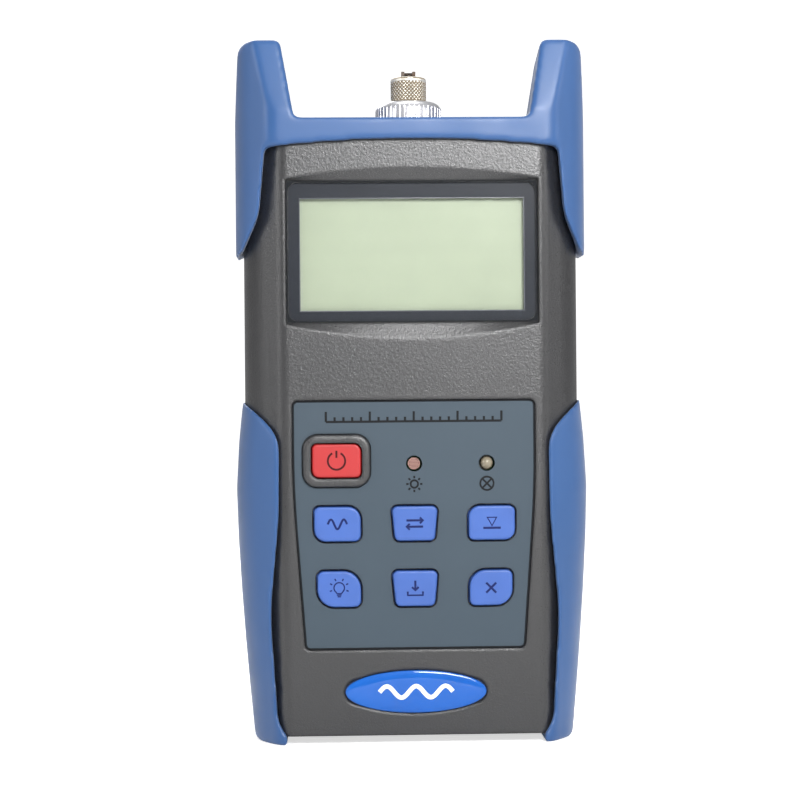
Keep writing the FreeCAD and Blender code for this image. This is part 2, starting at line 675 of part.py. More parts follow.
def oval(sketch, grow):
    """The badge's outline: a wide oval of four arcs, joined by short tangents."""
    lean = "atan(badge_tall / badge_width)"
    half_width = f"(badge_width / sqrt(2) + ({grow}) / sin({lean}))"
    half_tall = f"(badge_tall / sqrt(2) + ({grow}) / cos({lean}))"
    wide = f"(badge_tall * (sqrt(2) - 1) * cos({lean}) / (1 - cos({lean})) / 2 + {grow})"
    tight = f"(badge_width * (sqrt(2) - 1) * sin({lean}) / (1 - sin({lean})) / 2 + {grow})"
    outline(sketch, [
        (f"-{half_width}", "badge_height", tight),
        ("0", f"badge_height + {half_tall}", wide),
        (half_width, "badge_height", tight),
        ("0", f"badge_height - {half_tall}", wide),
    ])


SCREW_PLACES = [(x, z) for x in ("-screw_half_pitch", "screw_half_pitch")
                for z in ("screw_low_height", "screw_high_height")]
BOARD_SCREW_PLACES = [(x, z) for x in ("-board_screw_column", "board_screw_column")
                      for z in ("board_screw_low", "board_screw_high")]
# Levels behind the front, measured from the mid plane towards the front.
PANEL_INNER = "(case_half_depth - wall)"
LENS_BACK = "(case_half_depth - lens_sink - lens_thick)"
LEDGE_BACK = f"({LENS_BACK} - window_rim)"
GLASS_FRONT = f"({LEDGE_BACK} - glass_gap)"
GLASS_BACK = f"({GLASS_FRONT} - glass_thick)"
FLANGE_FRONT = f"({PANEL_INNER} - key_slack)"
FLANGE_BACK = f"({FLANGE_FRONT} - key_flange)"
DOME_FRONT = f"({FLANGE_BACK} - key_travel - dome_gap)"
MAT_FRONT = f"({DOME_FRONT} - dome_tall)"
BOARD_FRONT = f"({MAT_FRONT} - mat_thick)"
BOARD_BACK = f"({BOARD_FRONT} - board_thick)"
SEAT = "(case_half_depth - panel_sink)"
# Middle of a quarter turn, as a share of its radius.
ARC_MIDDLE = "sqrt(0.5)"
# Levels along the height.
DECK = "(case_top + deck_rise)"
TOP = f"({DECK} + horn_tall)"
HORN_LEAN = "(horn_top_half_gap - horn_foot_half_gap) / horn_tall"
RING_FOOT = f"({DECK} - ring_drop)"
RING_SHOULDER = f"({DECK} + ring_side_rise)"
RING_TOP = f"({DECK} + ring_rise)"
NOSE_TOP = f"({DECK} + nose_rise)"
HOUSING_LOW = f"({DECK} - housing_drop)"
HOUSING_TOP = f"({DECK} + housing_rise)"
DIODE_TOP = f"({DECK} - diode_drop)"
CAP_LOW = f"({DECK} + cap_rim_rise)"
CAP_HIGH = f"({DECK} + cap_rise)"
FLANGE_TOP = "(case_top - wall)"
FLANGE_LOW = f"({FLANGE_TOP} - housing_flange_thick)"
CELL_LOW = "(bay_low + contact_thick + contact_rise + 2 * contact_gap)"
CELL_HIGH = f"({CELL_LOW} + cell_length)"
BAY_HIGH = f"({CELL_HIGH} + 2 * contact_gap + contact_thick)"
BAY_HALF = "(3 * cell_radius + cell_gap + bay_clearance)"
# Levels behind the mid plane, towards the back.
DOOR_INNER = "(case_half_depth - door_thick)"
TAB_OUTER = f"({PANEL_INNER} - tab_under)"


def port_clamp(body, near, far):
    """The shelf and the round hole that hold the detector housing, in one shell."""
    level = new_sketch(body, "shelf_sketch", LEVEL, f"{FLANGE_LOW} - clamp_gap - shelf_thick")
    rectangle(level, "-shelf_half_width", "shelf_half_width", near, far)
    pad(body, "shelf", level, "shelf_thick")
    hole = new_sketch(body, "port_sketch", LEVEL, "case_top")
    circle(hole, "0", "0", "housing_radius + clamp_gap")
    pocket(body, "port_hole", hole, f"case_top - {FLANGE_LOW} + clamp_gap + shelf_thick")


# ---------------------------------------------------------------- case

def front_shell():
    """The front shell: display window, recessed panel, key holes, collar and bosses."""
    body = new_body("front_shell")
    shell_form(body, "-1")
    rim = new_sketch(body, "rim_sketch", FRONT, LEDGE_BACK)
    rectangle(rim, "-lens_width / 2 - frame_rim", "lens_width / 2 + frame_rim",
              "window_height - lens_tall / 2 - frame_rim", "window_height + lens_tall / 2 + frame_rim",
              "lens_round")
    pad(body, "rim", rim, f"{PANEL_INNER} - {LEDGE_BACK} + wall / 2")
    for number, (x, z) in enumerate(SCREW_PLACES):
        spot = new_sketch(body, f"boss_sketch_{number}", FRONT)
        circle(spot, x, z, "boss_radius")
        pad(body, f"boss_{number}", spot, PANEL_INNER)
    for number, (x, z) in enumerate(BOARD_SCREW_PLACES):
        spot = new_sketch(body, f"post_sketch_{number}", FRONT, BOARD_FRONT)
        circle(spot, x, z, "board_boss_radius")
        pad(body, f"post_{number}", spot, f"{PANEL_INNER} - {BOARD_FRONT} + wall / 4")
    port_clamp(body, f"-({PANEL_INNER} + wall / 2)", "0")

    seat = new_sketch(body, "seat_sketch", FRONT, "case_half_depth")
    panel_outline(seat, "panel_groove")
    pocket(body, "seat", seat, "panel_sink")
    ridge = new_sketch(body, "collar_sketch", FRONT, SEAT)
    collar_outline(ridge, "0")
    pad(body, "collar", ridge, f"collar_face - {SEAT}")
    soften(body, "collar_edge", "collar_round",
           lambda e, f: spread(e).YMax < -value("collar_face") + 0.01)

    wide, tall = "(lens_width / 2 + recess_side)", "(lens_tall / 2)"
    brim = new_sketch(body, "recess_brim", FRONT, "case_half_depth")
    outline(brim, [
        (f"-{wide}", f"window_height + {tall} + recess_top_corner", None,
         ("0", f"window_height + {tall} + recess_top_centre")),
        (wide, f"window_height + {tall} + recess_top_corner"),
        (wide, f"window_height - {tall} - recess_low_corner", None,
         ("0", f"window_height - {tall} - recess_low_centre")),
        (f"-{wide}", f"window_height - {tall} - recess_low_corner"),
    ])
    floor = new_sketch(body, "recess_floor", FRONT, "case_half_depth - lens_sink")
    rectangle(floor, "-lens_width / 2 - lens_gap", "lens_width / 2 + lens_gap",
              "window_height + lens_tall / 2 + lens_gap", "window_height - lens_tall / 2 - lens_gap")
    loft(body, "recess", [brim, floor], cut=True)
    place = new_sketch(body, "lens_seat_sketch", FRONT, "case_half_depth - lens_sink")
    rectangle(place, "-lens_width / 2 - lens_gap", "lens_width / 2 + lens_gap",
              "window_height - lens_tall / 2 - lens_gap", "window_height + lens_tall / 2 + lens_gap",
              "lens_round + lens_gap")
    pocket(body, "lens_seat", place, "lens_thick")
    window = new_sketch(body, "window_sketch", FRONT, LENS_BACK)
    rectangle(window, "-lens_width / 2 + lens_ledge", "lens_width / 2 - lens_ledge",
              "window_height - lens_tall / 2 + lens_ledge", "window_height + lens_tall / 2 - lens_ledge")
    pocket(body, "window", window, "window_rim")

    for name, x, z, _ in KEYS:
        hole = new_sketch(body, f"{name}_sketch", FRONT, "collar_face")
        key_outline(hole, name, x, z, "key_gap")
        pocket(body, f"{name}_hole", hole, f"collar_face - {PANEL_INNER}")
    for name, x in (("sensor", "0"), ("lamp", "lamp_column")):
        hole = new_sketch(body, f"{name}_sketch", FRONT, "case_half_depth")
        circle(hole, x, "lamp_height", "lamp_hole_radius")
        pocket(body, f"{name}_hole", hole, "wall")
    badge_seat = new_sketch(body, "badge_sketch", FRONT, "case_half_depth")
    oval(badge_seat, "badge_gap")
    pocket(body, "badge_seat", badge_seat, "badge_sink")

    for number, (x, z) in enumerate(SCREW_PLACES):
        spot = new_sketch(body, f"pilot_sketch_{number}", FRONT)
        circle(spot, x, z, "screw_radius + screw_gap")
        pocket(body, f"pilot_{number}", spot, "screw_reach + screw_gap", along=True)
    for number, (x, z) in enumerate(BOARD_SCREW_PLACES):
        spot = new_sketch(body, f"board_pilot_sketch_{number}", FRONT, BOARD_FRONT)
        circle(spot, x, z, "board_screw_radius + screw_gap")
        pocket(body, f"board_pilot_{number}", spot, "board_screw_reach + screw_gap", along=True)


def back_shell():
    """The back shell: battery bay, door opening with its ledge, tab slots and screw bosses."""
    body = new_body("back_shell")
    shell_form(body, "1")
    tub = new_sketch(body, "tub_sketch", FRONT, f"-({PANEL_INNER} + wall / 4)")
    rectangle(tub, f"-({BAY_HALF} + bay_wall)", f"{BAY_HALF} + bay_wall",
              "bay_low - bay_wall", f"{BAY_HIGH} + bay_wall")
    pad(body, "tub", tub, f"{PANEL_INNER} + wall / 4 - bay_floor + bay_wall")
    frame = new_sketch(body, "frame_sketch", FRONT, f"-({PANEL_INNER} + wall / 4)")
    rectangle(frame, "-(door_half_width + door_frame)", "door_half_width + door_frame",
              "door_low - door_frame", "door_high + door_frame", "door_round")
    pad(body, "frame", frame, f"{PANEL_INNER} + wall / 4 - {DOOR_INNER} + door_frame_thick")
    for number, (x, z) in enumerate(SCREW_PLACES):
        spot = new_sketch(body, f"boss_sketch_{number}", FRONT, f"-({PANEL_INNER} - wall / 4)")
        circle(spot, x, z, "screw_sink_radius + boss_wall")
        pad(body, f"boss_{number}", spot, f"{PANEL_INNER} - wall / 4")
    port_clamp(body, "0", f"{PANEL_INNER} + wall / 2")

    bay = new_sketch(body, "bay_sketch", FRONT, "-case_half_depth")
    rectangle(bay, f"-{BAY_HALF}", BAY_HALF, "bay_low", BAY_HIGH)
    pocket(body, "bay", bay, "case_half_depth - bay_floor", along=True)
    opening = new_sketch(body, "opening_sketch", FRONT, "-case_half_depth")
    rectangle(opening, "-(door_half_width + door_gap)", "door_half_width + door_gap",
              "door_low - door_gap", "door_high + door_gap", "door_round + door_gap")
    pocket(body, "opening", opening, "door_thick", along=True)
    notch = new_sketch(body, "notch_sketch", FRONT, "-case_half_depth")
    rectangle(notch, "-(thumb_half_width + door_gap)", "thumb_half_width + door_gap",
              "door_high - thumb_reach", "door_high + thumb_reach + door_gap", "thumb_round")
    pocket(body, "notch", notch, "door_thick", along=True)
    for number, sign in enumerate(("-1", "1")):
        left = f"{sign} * tab_column - tab_half_width - tab_slot_gap"
        right = f"{sign} * tab_column + tab_half_width + tab_slot_gap"
        under = new_sketch(body, f"under_sketch_{number}", FRONT, f"-{PANEL_INNER}")
        rectangle(under, left, right, "door_low - tab_reach - tab_slot_low", "door_low + tab_slot_high")
        pocket(body, f"under_{number}", under, f"tab_slot_depth - wall", along=True)
        over = new_sketch(body, f"over_sketch_{number}", FRONT, f"-{DOOR_INNER}")
        rectangle(over, left, right, "door_low - door_gap", "door_low + tab_slot_high")
        pocket(body, f"over_{number}", over, f"tab_slot_depth - door_thick", along=True)
    for number, (x, z) in enumerate(SCREW_PLACES):
        sink = new_sketch(body, f"sink_sketch_{number}", FRONT, "-case_half_depth")
        circle(sink, x, z, "screw_sink_radius")
        pocket(body, f"sink_{number}", sink, "screw_sink", along=True)
        hole = new_sketch(body, f"screw_sketch_{number}", FRONT, "-case_half_depth")
        circle(hole, x, z, "screw_radius + screw_gap")
        pocket(body, f"screw_hole_{number}", hole, "case_half_depth", along=True)


def top_bumper():
    """The soft bumper over the top end: band, cheeks and the two horns beside the port."""
    body = new_body("top_bumper")
    form = full_section(body, "form_sketch", "bumper_low", "bumper_half_width", "bumper_half_depth",
                        "bumper_flat_half_width", "bumper_shoulder",
                        ("bumper_side_round", "bumper_edge_round"))
    pad(body, "form", form, f"{TOP} - bumper_low")
    through = "2 * bumper_half_depth + 2 * wall"
    reach = "(bumper_half_depth + wall)"
    for name, sign in (("left", "-1"), ("right", "1")):
        half = new_sketch(body, f"{name}_gap_sketch", FRONT, reach)
        outline(half, [
            (f"-{sign} * horn_draft", DECK),
            (f"{sign} * horn_foot_half_gap", DECK),
            (f"{sign} * (horn_top_half_gap + wall * {HORN_LEAN})", f"{TOP} + wall"),
            (f"-{sign} * horn_draft", f"{TOP} + wall"),
        ])
        slanting = pocket(body, f"{name}_gap", half, f"2 * {reach}")
        slanting.UseCustomVector = True
        slanting.AlongSketchNormal = True
        slanting.Direction = FreeCAD.Vector(0, 1, 0)
        bind(slanting, "Direction.x", f"{sign} * horn_draft")
        bind(slanting, "Direction.y", f"2 * {reach}")
    soften(body, "horn_feet", "horn_foot_round", lambda e, f: (
        spread(e).ZMax < value(DECK) + 0.01 and spread(e).ZMin > value(DECK) - 0.01 and along(e, "y")))
    for number, sign in enumerate(("-1", "1")):
        lean = new_sketch(body, f"lean_sketch_{number}", SIDE, "bumper_half_width + wall")
        outline(lean, [
            (f"{sign} * bumper_half_depth", f"{DECK} + horn_lean_start"),
            (f"{sign} * horn_top_half_depth", TOP),
            (f"{sign} * horn_top_half_depth", f"{TOP} + wall"),
            (f"{sign} * (bumper_half_depth + wall)", f"{TOP} + wall"),
            (f"{sign} * (bumper_half_depth + wall)", f"{DECK} + horn_lean_start"),
        ])
        pocket(body, f"lean_{number}", lean, "2 * bumper_half_width + 2 * wall")
        side = new_sketch(body, f"side_sketch_{number}", FRONT, "bumper_half_depth + wall")
        outline(side, [
            (f"{sign} * bumper_half_width", DECK),
            (f"{sign} * horn_top_half_width", TOP),
            (f"{sign} * horn_top_half_width", f"{TOP} + wall"),
            (f"{sign} * (bumper_half_width + wall)", f"{TOP} + wall"),
            (f"{sign} * (bumper_half_width + wall)", DECK),
        ])
        pocket(body, f"side_{number}", side, through)
    face = new_sketch(body, "face_sketch", FRONT, "bumper_half_depth + wall")
    outline(face, [
        ("-cheek_half_gap", "band_low_corner", None, ("0", "band_low_centre")),
        ("cheek_half_gap", "band_low_corner"),
        ("cheek_bend_half_gap", "cheek_bend_height", "cheek_bend_round"),
        ("cheek_tip_half_gap", "cheek_tip_height", "cheek_tip_round"),
        ("bumper_half_width + wall", "bumper_low + wall / 2"),
        ("bumper_half_width + wall", "bumper_low - wall"),
        ("-(bumper_half_width + wall)", "bumper_low - wall"),
        ("-(bumper_half_width + wall)", "bumper_low + wall / 2"),
        ("-cheek_tip_half_gap", "cheek_tip_height", "cheek_tip_round"),
        ("-cheek_bend_half_gap", "cheek_bend_height", "cheek_bend_round"),
    ])
    pocket(body, "face", face, through)
    soften(body, "horn_corners", "horn_corner_round", lambda e, f: (
        spread(e).ZMin > value(TOP) - 0.01 and along(e, "y")
        and abs(spread(e).Center.x) > value("horn_top_half_width") - 0.1))
    soften(body, "horn_tips", "horn_edge_round", lambda e, f: (
        spread(e).ZMin > value(TOP) - 0.01 and along(e, "y")
        and abs(spread(e).Center.x) < value("horn_top_half_gap + horn_draft") + 0.5))
    case_space(body)
    port = new_sketch(body, "port_sketch", LEVEL, DECK)
    circle(port, "0", "0", "port_hole_radius")
    pocket(body, "port", port, "deck_rise")


def side_grips():
    """The soft grips along the lower flanks, each ending below in a foot; the right one is the
    mirror image of the left one."""
    body = new_body("left_grip")
    low_drop = "(grip_wide_half_width - grip_foot_half_width)"
    high_drop = "(grip_wide_half_width - grip_tip_half_width)"
    inner = "(foot_half_gap - 2 * wall)"
    stations = [(f"low_{number}", f"grip_wide_height * (1 - {share})",
                 f"(grip_wide_half_width - {low_drop} * {share} ^ 1.5)")
                for number, share in enumerate((1, 0.8, 0.6, 0.4, 0.2, 0))]
    stations += [(f"high_{number}", f"(grip_wide_height + (grip_tip_height - grip_wide_height) * {share})",
                  f"(grip_wide_half_width - {high_drop} * {share} ^ 1.5)")
                 for number, share in enumerate((0.5, 1))]
    sections = []
    for station, height, side in stations:
        sketch = new_sketch(body, station, LEVEL, height)
        outline(sketch, [
            (f"-{inner}", "-grip_half_depth"),
            ("-grip_flat_half_width", "-grip_half_depth", "grip_edge_round"),
            (f"-{side}", "-grip_shoulder", "grip_side_round"),
            (f"-{side}", "grip_shoulder", "grip_side_round"),
            ("-grip_flat_half_width", "grip_half_depth", "grip_edge_round"),
            (f"-{inner}", "grip_half_depth"),
        ])
        sections.append(sketch)
    loft(body, "form", sections)
    through = "2 * grip_half_depth + 2 * wall"
    edge = new_sketch(body, "edge_sketch", FRONT, "grip_half_depth + wall")
    outline(edge, [
        (f"-({inner} - wall)", "grip_tip_height + wall"),
        ("-(grip_wide_half_width + wall)", "grip_tip_height + wall / 2"),
        ("-grip_leaf_half_gap", "grip_leaf_height", "grip_leaf_round"),
        ("-grip_palm_half_gap", "grip_palm_height", "grip_palm_round"),
        ("-grip_waist_half_gap", "grip_waist_height", "grip_waist_round"),
        ("-grip_heel_half_gap", "grip_heel_height", "grip_heel_round"),
        ("-foot_half_gap", "case_bottom"),
        ("-foot_half_gap", "-wall"),
        (f"-({inner} - wall)", "-wall"),
    ])
    pocket(body, "edge", edge, through)
    corner = new_sketch(body, "corner_sketch", FRONT, "grip_half_depth + wall")
    outline(corner, [
        ("-(foot_half_gap + wall)", "-wall"),
        ("-(foot_half_gap + wall)", "0"),
        ("-grip_foot_half_width", "0", "foot_round"),
        ("-(grip_foot_half_width + foot_round / 4)", "2 * foot_round"),
        ("-(grip_wide_half_width + wall)", "2 * foot_round"),
        ("-(grip_wide_half_width + wall)", "-wall"),
    ])
    pocket(body, "corner", corner, through)
    case_space(body)
    mirror = doc.addObject("Part::Mirroring", "right_grip")
    mirror.Source = body
    mirror.Normal = FreeCAD.Vector(1, 0, 0)
    keep(mirror, "right_grip")


# ---------------------------------------------------------------- display

def display():
    """The lens, the liquid crystal cell in its frame, the backlight and the contact strip."""
    lens = new_body("display_lens")
    sketch = new_sketch(lens, "sketch", FRONT, LENS_BACK)
    rectangle(sketch, "-lens_width / 2", "lens_width / 2", "window_height - lens_tall / 2",
              "window_height + lens_tall / 2", "lens_round")
    pad(lens, "plate", sketch, "lens_thick")

    low, high = "window_height - glass_tall / 2", "window_height + glass_tall / 2"
    frame = new_body("display_frame")
    sketch = new_sketch(frame, "sketch", FRONT, BOARD_FRONT)
    rectangle(sketch, "-glass_width / 2 - frame_rim", "glass_width / 2 + frame_rim",
              f"{low} - frame_rim", f"{high} + frame_rim")
    pad(frame, "ring", sketch, f"{GLASS_FRONT} - {BOARD_FRONT}")
    inside = new_sketch(frame, "inside", FRONT, GLASS_FRONT)
    rectangle(inside, "-glass_width / 2 - frame_gap", "glass_width / 2 + frame_gap",
              f"{low} - frame_gap", f"{high} + frame_gap")
    pocket(frame, "well", inside, f"{GLASS_FRONT} - {BOARD_FRONT}")

    wide = ("-glass_width / 2", "glass_width / 2")
    keep(box("display_glass", wide, (f"-{GLASS_FRONT}", f"-{GLASS_BACK}"), (low, high)), "display_glass")
    keep(box("backlight", wide, (f"-{GLASS_BACK}", f"-{BOARD_FRONT}"),
             (f"{low} + strip_thick + frame_gap", high)), "backlight")
    keep(box("contact_strip", wide, (f"-{GLASS_BACK}", f"-{BOARD_FRONT}"),
             (low, f"{low} + strip_thick")), "contact_strip")


# ---------------------------------------------------------------- control panel

def panel_overlay():
    """The thin overlay in the recess, with holes for the collar, the keys and the two windows."""
    body = new_body("panel_overlay")
    sketch = new_sketch(body, "sketch", FRONT, SEAT)
    panel_outline(sketch, "0")
    pad(body, "sheet", sketch, "overlay_thick")
    collar = new_sketch(body, "collar_sketch", FRONT, f"{SEAT} + overlay_thick")
    collar_outline(collar, "collar_gap")
    pocket(body, "collar_hole", collar, "overlay_thick")
    for name, x, z, _ in KEYS[1:]:
        hole = new_sketch(body, f"{name}_sketch", FRONT, f"{SEAT} + overlay_thick")
        key_outline(hole, name, x, z, "key_rim_gap")
        pocket(body, f"{name}_hole", hole, "overlay_thick")
    for name, x in (("sensor", "0"), ("lamp", "lamp_column")):
        hole = new_sketch(body, f"{name}_sketch", FRONT, f"{SEAT} + overlay_thick")
        circle(hole, x, "lamp_height", "lamp_hole_radius")
        pocket(body, f"{name}_hole", hole, "overlay_thick")


def key(name, x, z, face):
    """One key: its cap with a rounded face, and the flange that holds it behind the shell."""
    body = new_body(f"key_{name}")
    flange = new_sketch(body, "flange_sketch", FRONT, FLANGE_BACK)
    key_outline(flange, name, x, z, "key_lip")
    pad(body, "flange", flange, "key_flange")
    cap = new_sketch(body, "cap_sketch", FRONT, FLANGE_BACK)
    key_outline(cap, name, x, z, "0")
    pad(body, "cap", cap, f"{face} - {FLANGE_BACK}")
    soften(body, "edge", "key_round", lambda e, f: spread(e).YMax < -value(face) + 0.01)


def keypad_mat():
    """The rubber mat with a dome under each key and holes for the lamp and the light sensor."""
    body = new_body("keypad_mat")
    sketch = new_sketch(body, "sketch", FRONT, BOARD_FRONT)
    rectangle(sketch, "-mat_half_width", "mat_half_width", "mat_low", "mat_high", "panel_round")
    pad(body, "sheet", sketch, "mat_thick")
    for name, x, z, _ in KEYS:
        dome = new_sketch(body, f"{name}_sketch", FRONT, MAT_FRONT)
        circle(dome, x, z, "dome_radius")
        pad(body, f"{name}_dome", dome, "dome_tall")
    for name, x in (("sensor", "0"), ("lamp", "lamp_column")):
        hole = new_sketch(body, f"{name}_sketch", FRONT, MAT_FRONT)
        circle(hole, x, "lamp_height", "mat_hole_radius")
        pocket(body, f"{name}_hole", hole, "mat_thick")


def lamp_and_sensor():
    """The indicator lamp, a domed 3 mm diode, and the disc of the light sensor on its two legs."""
    base = rod("lamp_flange", "lamp_flange_radius", "lamp_flange_thick",
               ("lamp_column", f"-({BOARD_FRONT} + lamp_flange_thick)", "lamp_height"), "y")
    barrel = rod("lamp_barrel", "lamp_radius", f"lamp_face - lamp_radius - {BOARD_FRONT}",
                 ("lamp_column", "-(lamp_face - lamp_radius)", "lamp_height"), "y")
    dome = doc.addObject("Part::Sphere", "lamp_dome")
    bind(dome, "Radius", "lamp_radius")
    for axis, text in zip("xyz", ("lamp_column", "-(lamp_face - lamp_radius)", "lamp_height")):
        bind(dome, f"Placement.Base.{axis}", text)
    keep(fuse("indicator_lamp", [base, barrel, dome]), "indicator_lamp")

    face = f"({SEAT} + overlay_thick - sensor_sink)"
    disc = rod("sensor_disc", "sensor_radius", "sensor_thick", ("0", f"-{face}", "lamp_height"), "y")
    legs = [rod(f"sensor_leg_{number}", "sensor_leg_radius", f"{face} - sensor_thick - {BOARD_FRONT}",
                (f"{sign} * sensor_radius / 2", f"-({face} - sensor_thick)", "lamp_height"), "y")
            for number, sign in enumerate(("-1", "1"))]
    keep(fuse("light_sensor", [disc] + legs), "light_sensor")


def badge():
    """The oval badge with a rounded face, in its seat under the panel."""
    body = new_body("badge")
    sketch = new_sketch(body, "sketch", FRONT, "case_half_depth - badge_sink")
    oval(sketch, "0")
    pad(body, "plate", sketch, "badge_thick")
    soften(body, "edge", "badge_dome", lambda e, f: (
        spread(e).YMax < -value("case_half_depth - badge_sink + badge_thick") + 0.01))


# ---------------------------------------------------------------- electronics

def main_board():
    """The circuit board behind the keys and the display, on four posts of the front shell."""
    body = new_body("main_board")
    sketch = new_sketch(body, "sketch", FRONT, BOARD_BACK)
    rectangle(sketch, "-board_half_width", "board_half_width", "board_low", "board_high", "panel_round")
    pad(body, "sheet", sketch, "board_thick")
    for number, (x, z) in enumerate(BOARD_SCREW_PLACES):
        hole = new_sketch(body, f"hole_sketch_{number}", FRONT, BOARD_FRONT)
        circle(hole, x, z, "board_screw_radius + screw_gap")
        pocket(body, f"hole_{number}", hole, "board_thick")


# Parts on the back of the board: half width, height above the board, half length, x and z.
COMPONENTS = [
    ("controller", "chip_half", "chip_tall", "chip_half", "-column_step", "row_middle"),
    ("converter", "chip_half * 0.6", "chip_tall", "chip_half * 0.8", "column_step", "row_middle"),
    ("driver", "chip_half * 1.2", "chip_tall", "chip_half * 0.5", "0", "window_height"),
    ("regulator", "chip_half * 0.4", "chip_tall", "chip_half * 0.4", "column_step", "row_low"),
    ("inductor", "chip_half * 0.5", "chip_tall * 1.8", "chip_half * 0.5", "0", "row_low"),
    ("amplifier", "chip_half * 0.4", "chip_tall", "chip_half * 0.5", "0", "row_high"),
]


def board_components():
    """The larger parts on the back of the board, one group."""
    chips = [box(f"chip_{name}", (f"{x} - {half}", f"{x} + {half}"),
                 (f"-{BOARD_BACK}", f"-{BOARD_BACK} + {tall}"), (f"{z} - {long}", f"{z} + {long}"))
             for name, half, tall, long, x, z in COMPONENTS]
    buzzer = rod("chip_buzzer", "buzzer_radius", "buzzer_tall",
                 ("-column_step", f"-{BOARD_BACK}", "row_low"), "y")
    group("board_components", chips + [buzzer])


def screws(label, places, head_radius, head_height, radius, reach, seat, drive):
    """A group of like screws, driven from the back; seat is where their heads rest."""
    made = []
    for number, (x, z) in enumerate(places):
        head = rod(f"{label}_head_{number}", head_radius, head_height, (x, seat, z), "y")
        shank = rod(f"{label}_shank_{number}", radius, reach, (x, f"{seat} - ({reach})", z), "y")
        drive_hole = rod(f"{label}_drive_{number}", drive[0], drive[1],
                         (x, f"{seat} + {head_height} - {drive[1]}", z), "y")
        whole = fuse(f"{label}_whole_{number}", [head, shank])
        made.append(cut(f"{label}_{number}", whole, drive_hole))
    group(label, made)


# ---------------------------------------------------------------- batteries

def batteries():
    """Three AA cells side by side, the middle one upside down, with contacts at both ends."""
    pitch = "(2 * cell_radius + cell_gap)"
    depth = "(bay_floor + cell_seat_gap + cell_radius)"
    for number, (place, nub_up) in enumerate((("-1", True), ("0", False), ("1", True)), start=1):
        x = f"{place} * {pitch}"
        body_low = CELL_LOW if nub_up else f"{CELL_LOW} + cell_nub_height"
        nub_low = f"{CELL_HIGH} - cell_nub_height" if nub_up else CELL_LOW
        can = rod(f"cell_can_{number}", "cell_radius", "cell_length - cell_nub_height", (x, depth, body_low))
        nub = rod(f"cell_nub_{number}", "cell_nub_radius", "cell_nub_height", (x, depth, nub_low))
        keep(fuse(f"battery_{number}", [can, nub]), f"battery_{number}")

    plates = []
    for number, place in enumerate(("-1", "0", "1")):
        across = (f"{place} * {pitch} - contact_half_width", f"{place} * {pitch} + contact_half_width")
        deep = (f"{depth} - contact_half_width", f"{depth} + contact_half_width")
        low = box(f"contact_low_{number}", across, deep,
                  ("bay_low + contact_gap", "bay_low + contact_gap + contact_thick"))
        leaf = doc.addObject("Part::Cone", f"contact_leaf_{number}")
        bind(leaf, "Radius1", "contact_half_width * 0.8")
        bind(leaf, "Radius2", "contact_half_width * 0.4")
        bind(leaf, "Height", "contact_rise")
        for axis, text in zip("xyz", (f"{place} * {pitch}", depth, "bay_low + contact_gap + contact_thick")):
            bind(leaf, f"Placement.Base.{axis}", text)
        plates.append(fuse(f"contact_{number}", [low, leaf]))
        plates.append(box(f"contact_high_{number}", across, deep,
                          (f"{CELL_HIGH} + contact_gap", f"{CELL_HIGH} + contact_gap + contact_thick")))
    group("battery_contacts", plates)


def battery_door():
    """The door over the cells: plate, finger ribs, thumb tongue and two tabs on short legs."""
    body = new_body("battery_door")
    outer = new_sketch(body, "sketch", FRONT, "-case_half_depth")
    rectangle(outer, "-door_half_width", "door_half_width", "door_low", "door_high", "door_round")
    pad(body, "plate", outer, "door_thick")
    thumb = new_sketch(body, "thumb_sketch", FRONT, "-case_half_depth")
    rectangle(thumb, "-thumb_half_width", "thumb_half_width", "door_high - thumb_reach",
              "door_high + thumb_reach", "thumb_round")
    pad(body, "thumb", thumb, "door_thick")
    for number, sign in enumerate(("-1", "1")):
        left = f"{sign} * tab_column - tab_half_width"
        right = f"{sign} * tab_column + tab_half_width"
        leg = new_sketch(body, f"leg_sketch_{number}", FRONT, f"-(case_half_depth - door_thick / 2)")
        rectangle(leg, left, right, "door_low", "door_low + tab_riser")
        pad(body, f"leg_{number}", leg, f"case_half_depth - door_thick / 2 - {TAB_OUTER} + tab_thick")
        tab = new_sketch(body, f"tab_sketch_{number}", FRONT, f"-{TAB_OUTER}")
        rectangle(tab, left, right, "door_low - tab_reach", "door_low + tab_riser")
        pad(body, f"tab_{number}", tab, "tab_thick")
    for number in range(int(value("rib_count"))):
        rib = new_sketch(body, f"rib_sketch_{number}", FRONT, "-(case_half_depth + rib_proud)")
        low = f"door_high - thumb_reach - {number + 1} * rib_pitch"
        rectangle(rib, "-rib_half_width", "rib_half_width", low, f"{low} + rib_tall")
        pad(body, f"rib_{number}", rib, "rib_proud + door_thick / 2")


# ---------------------------------------------------------------- optical port

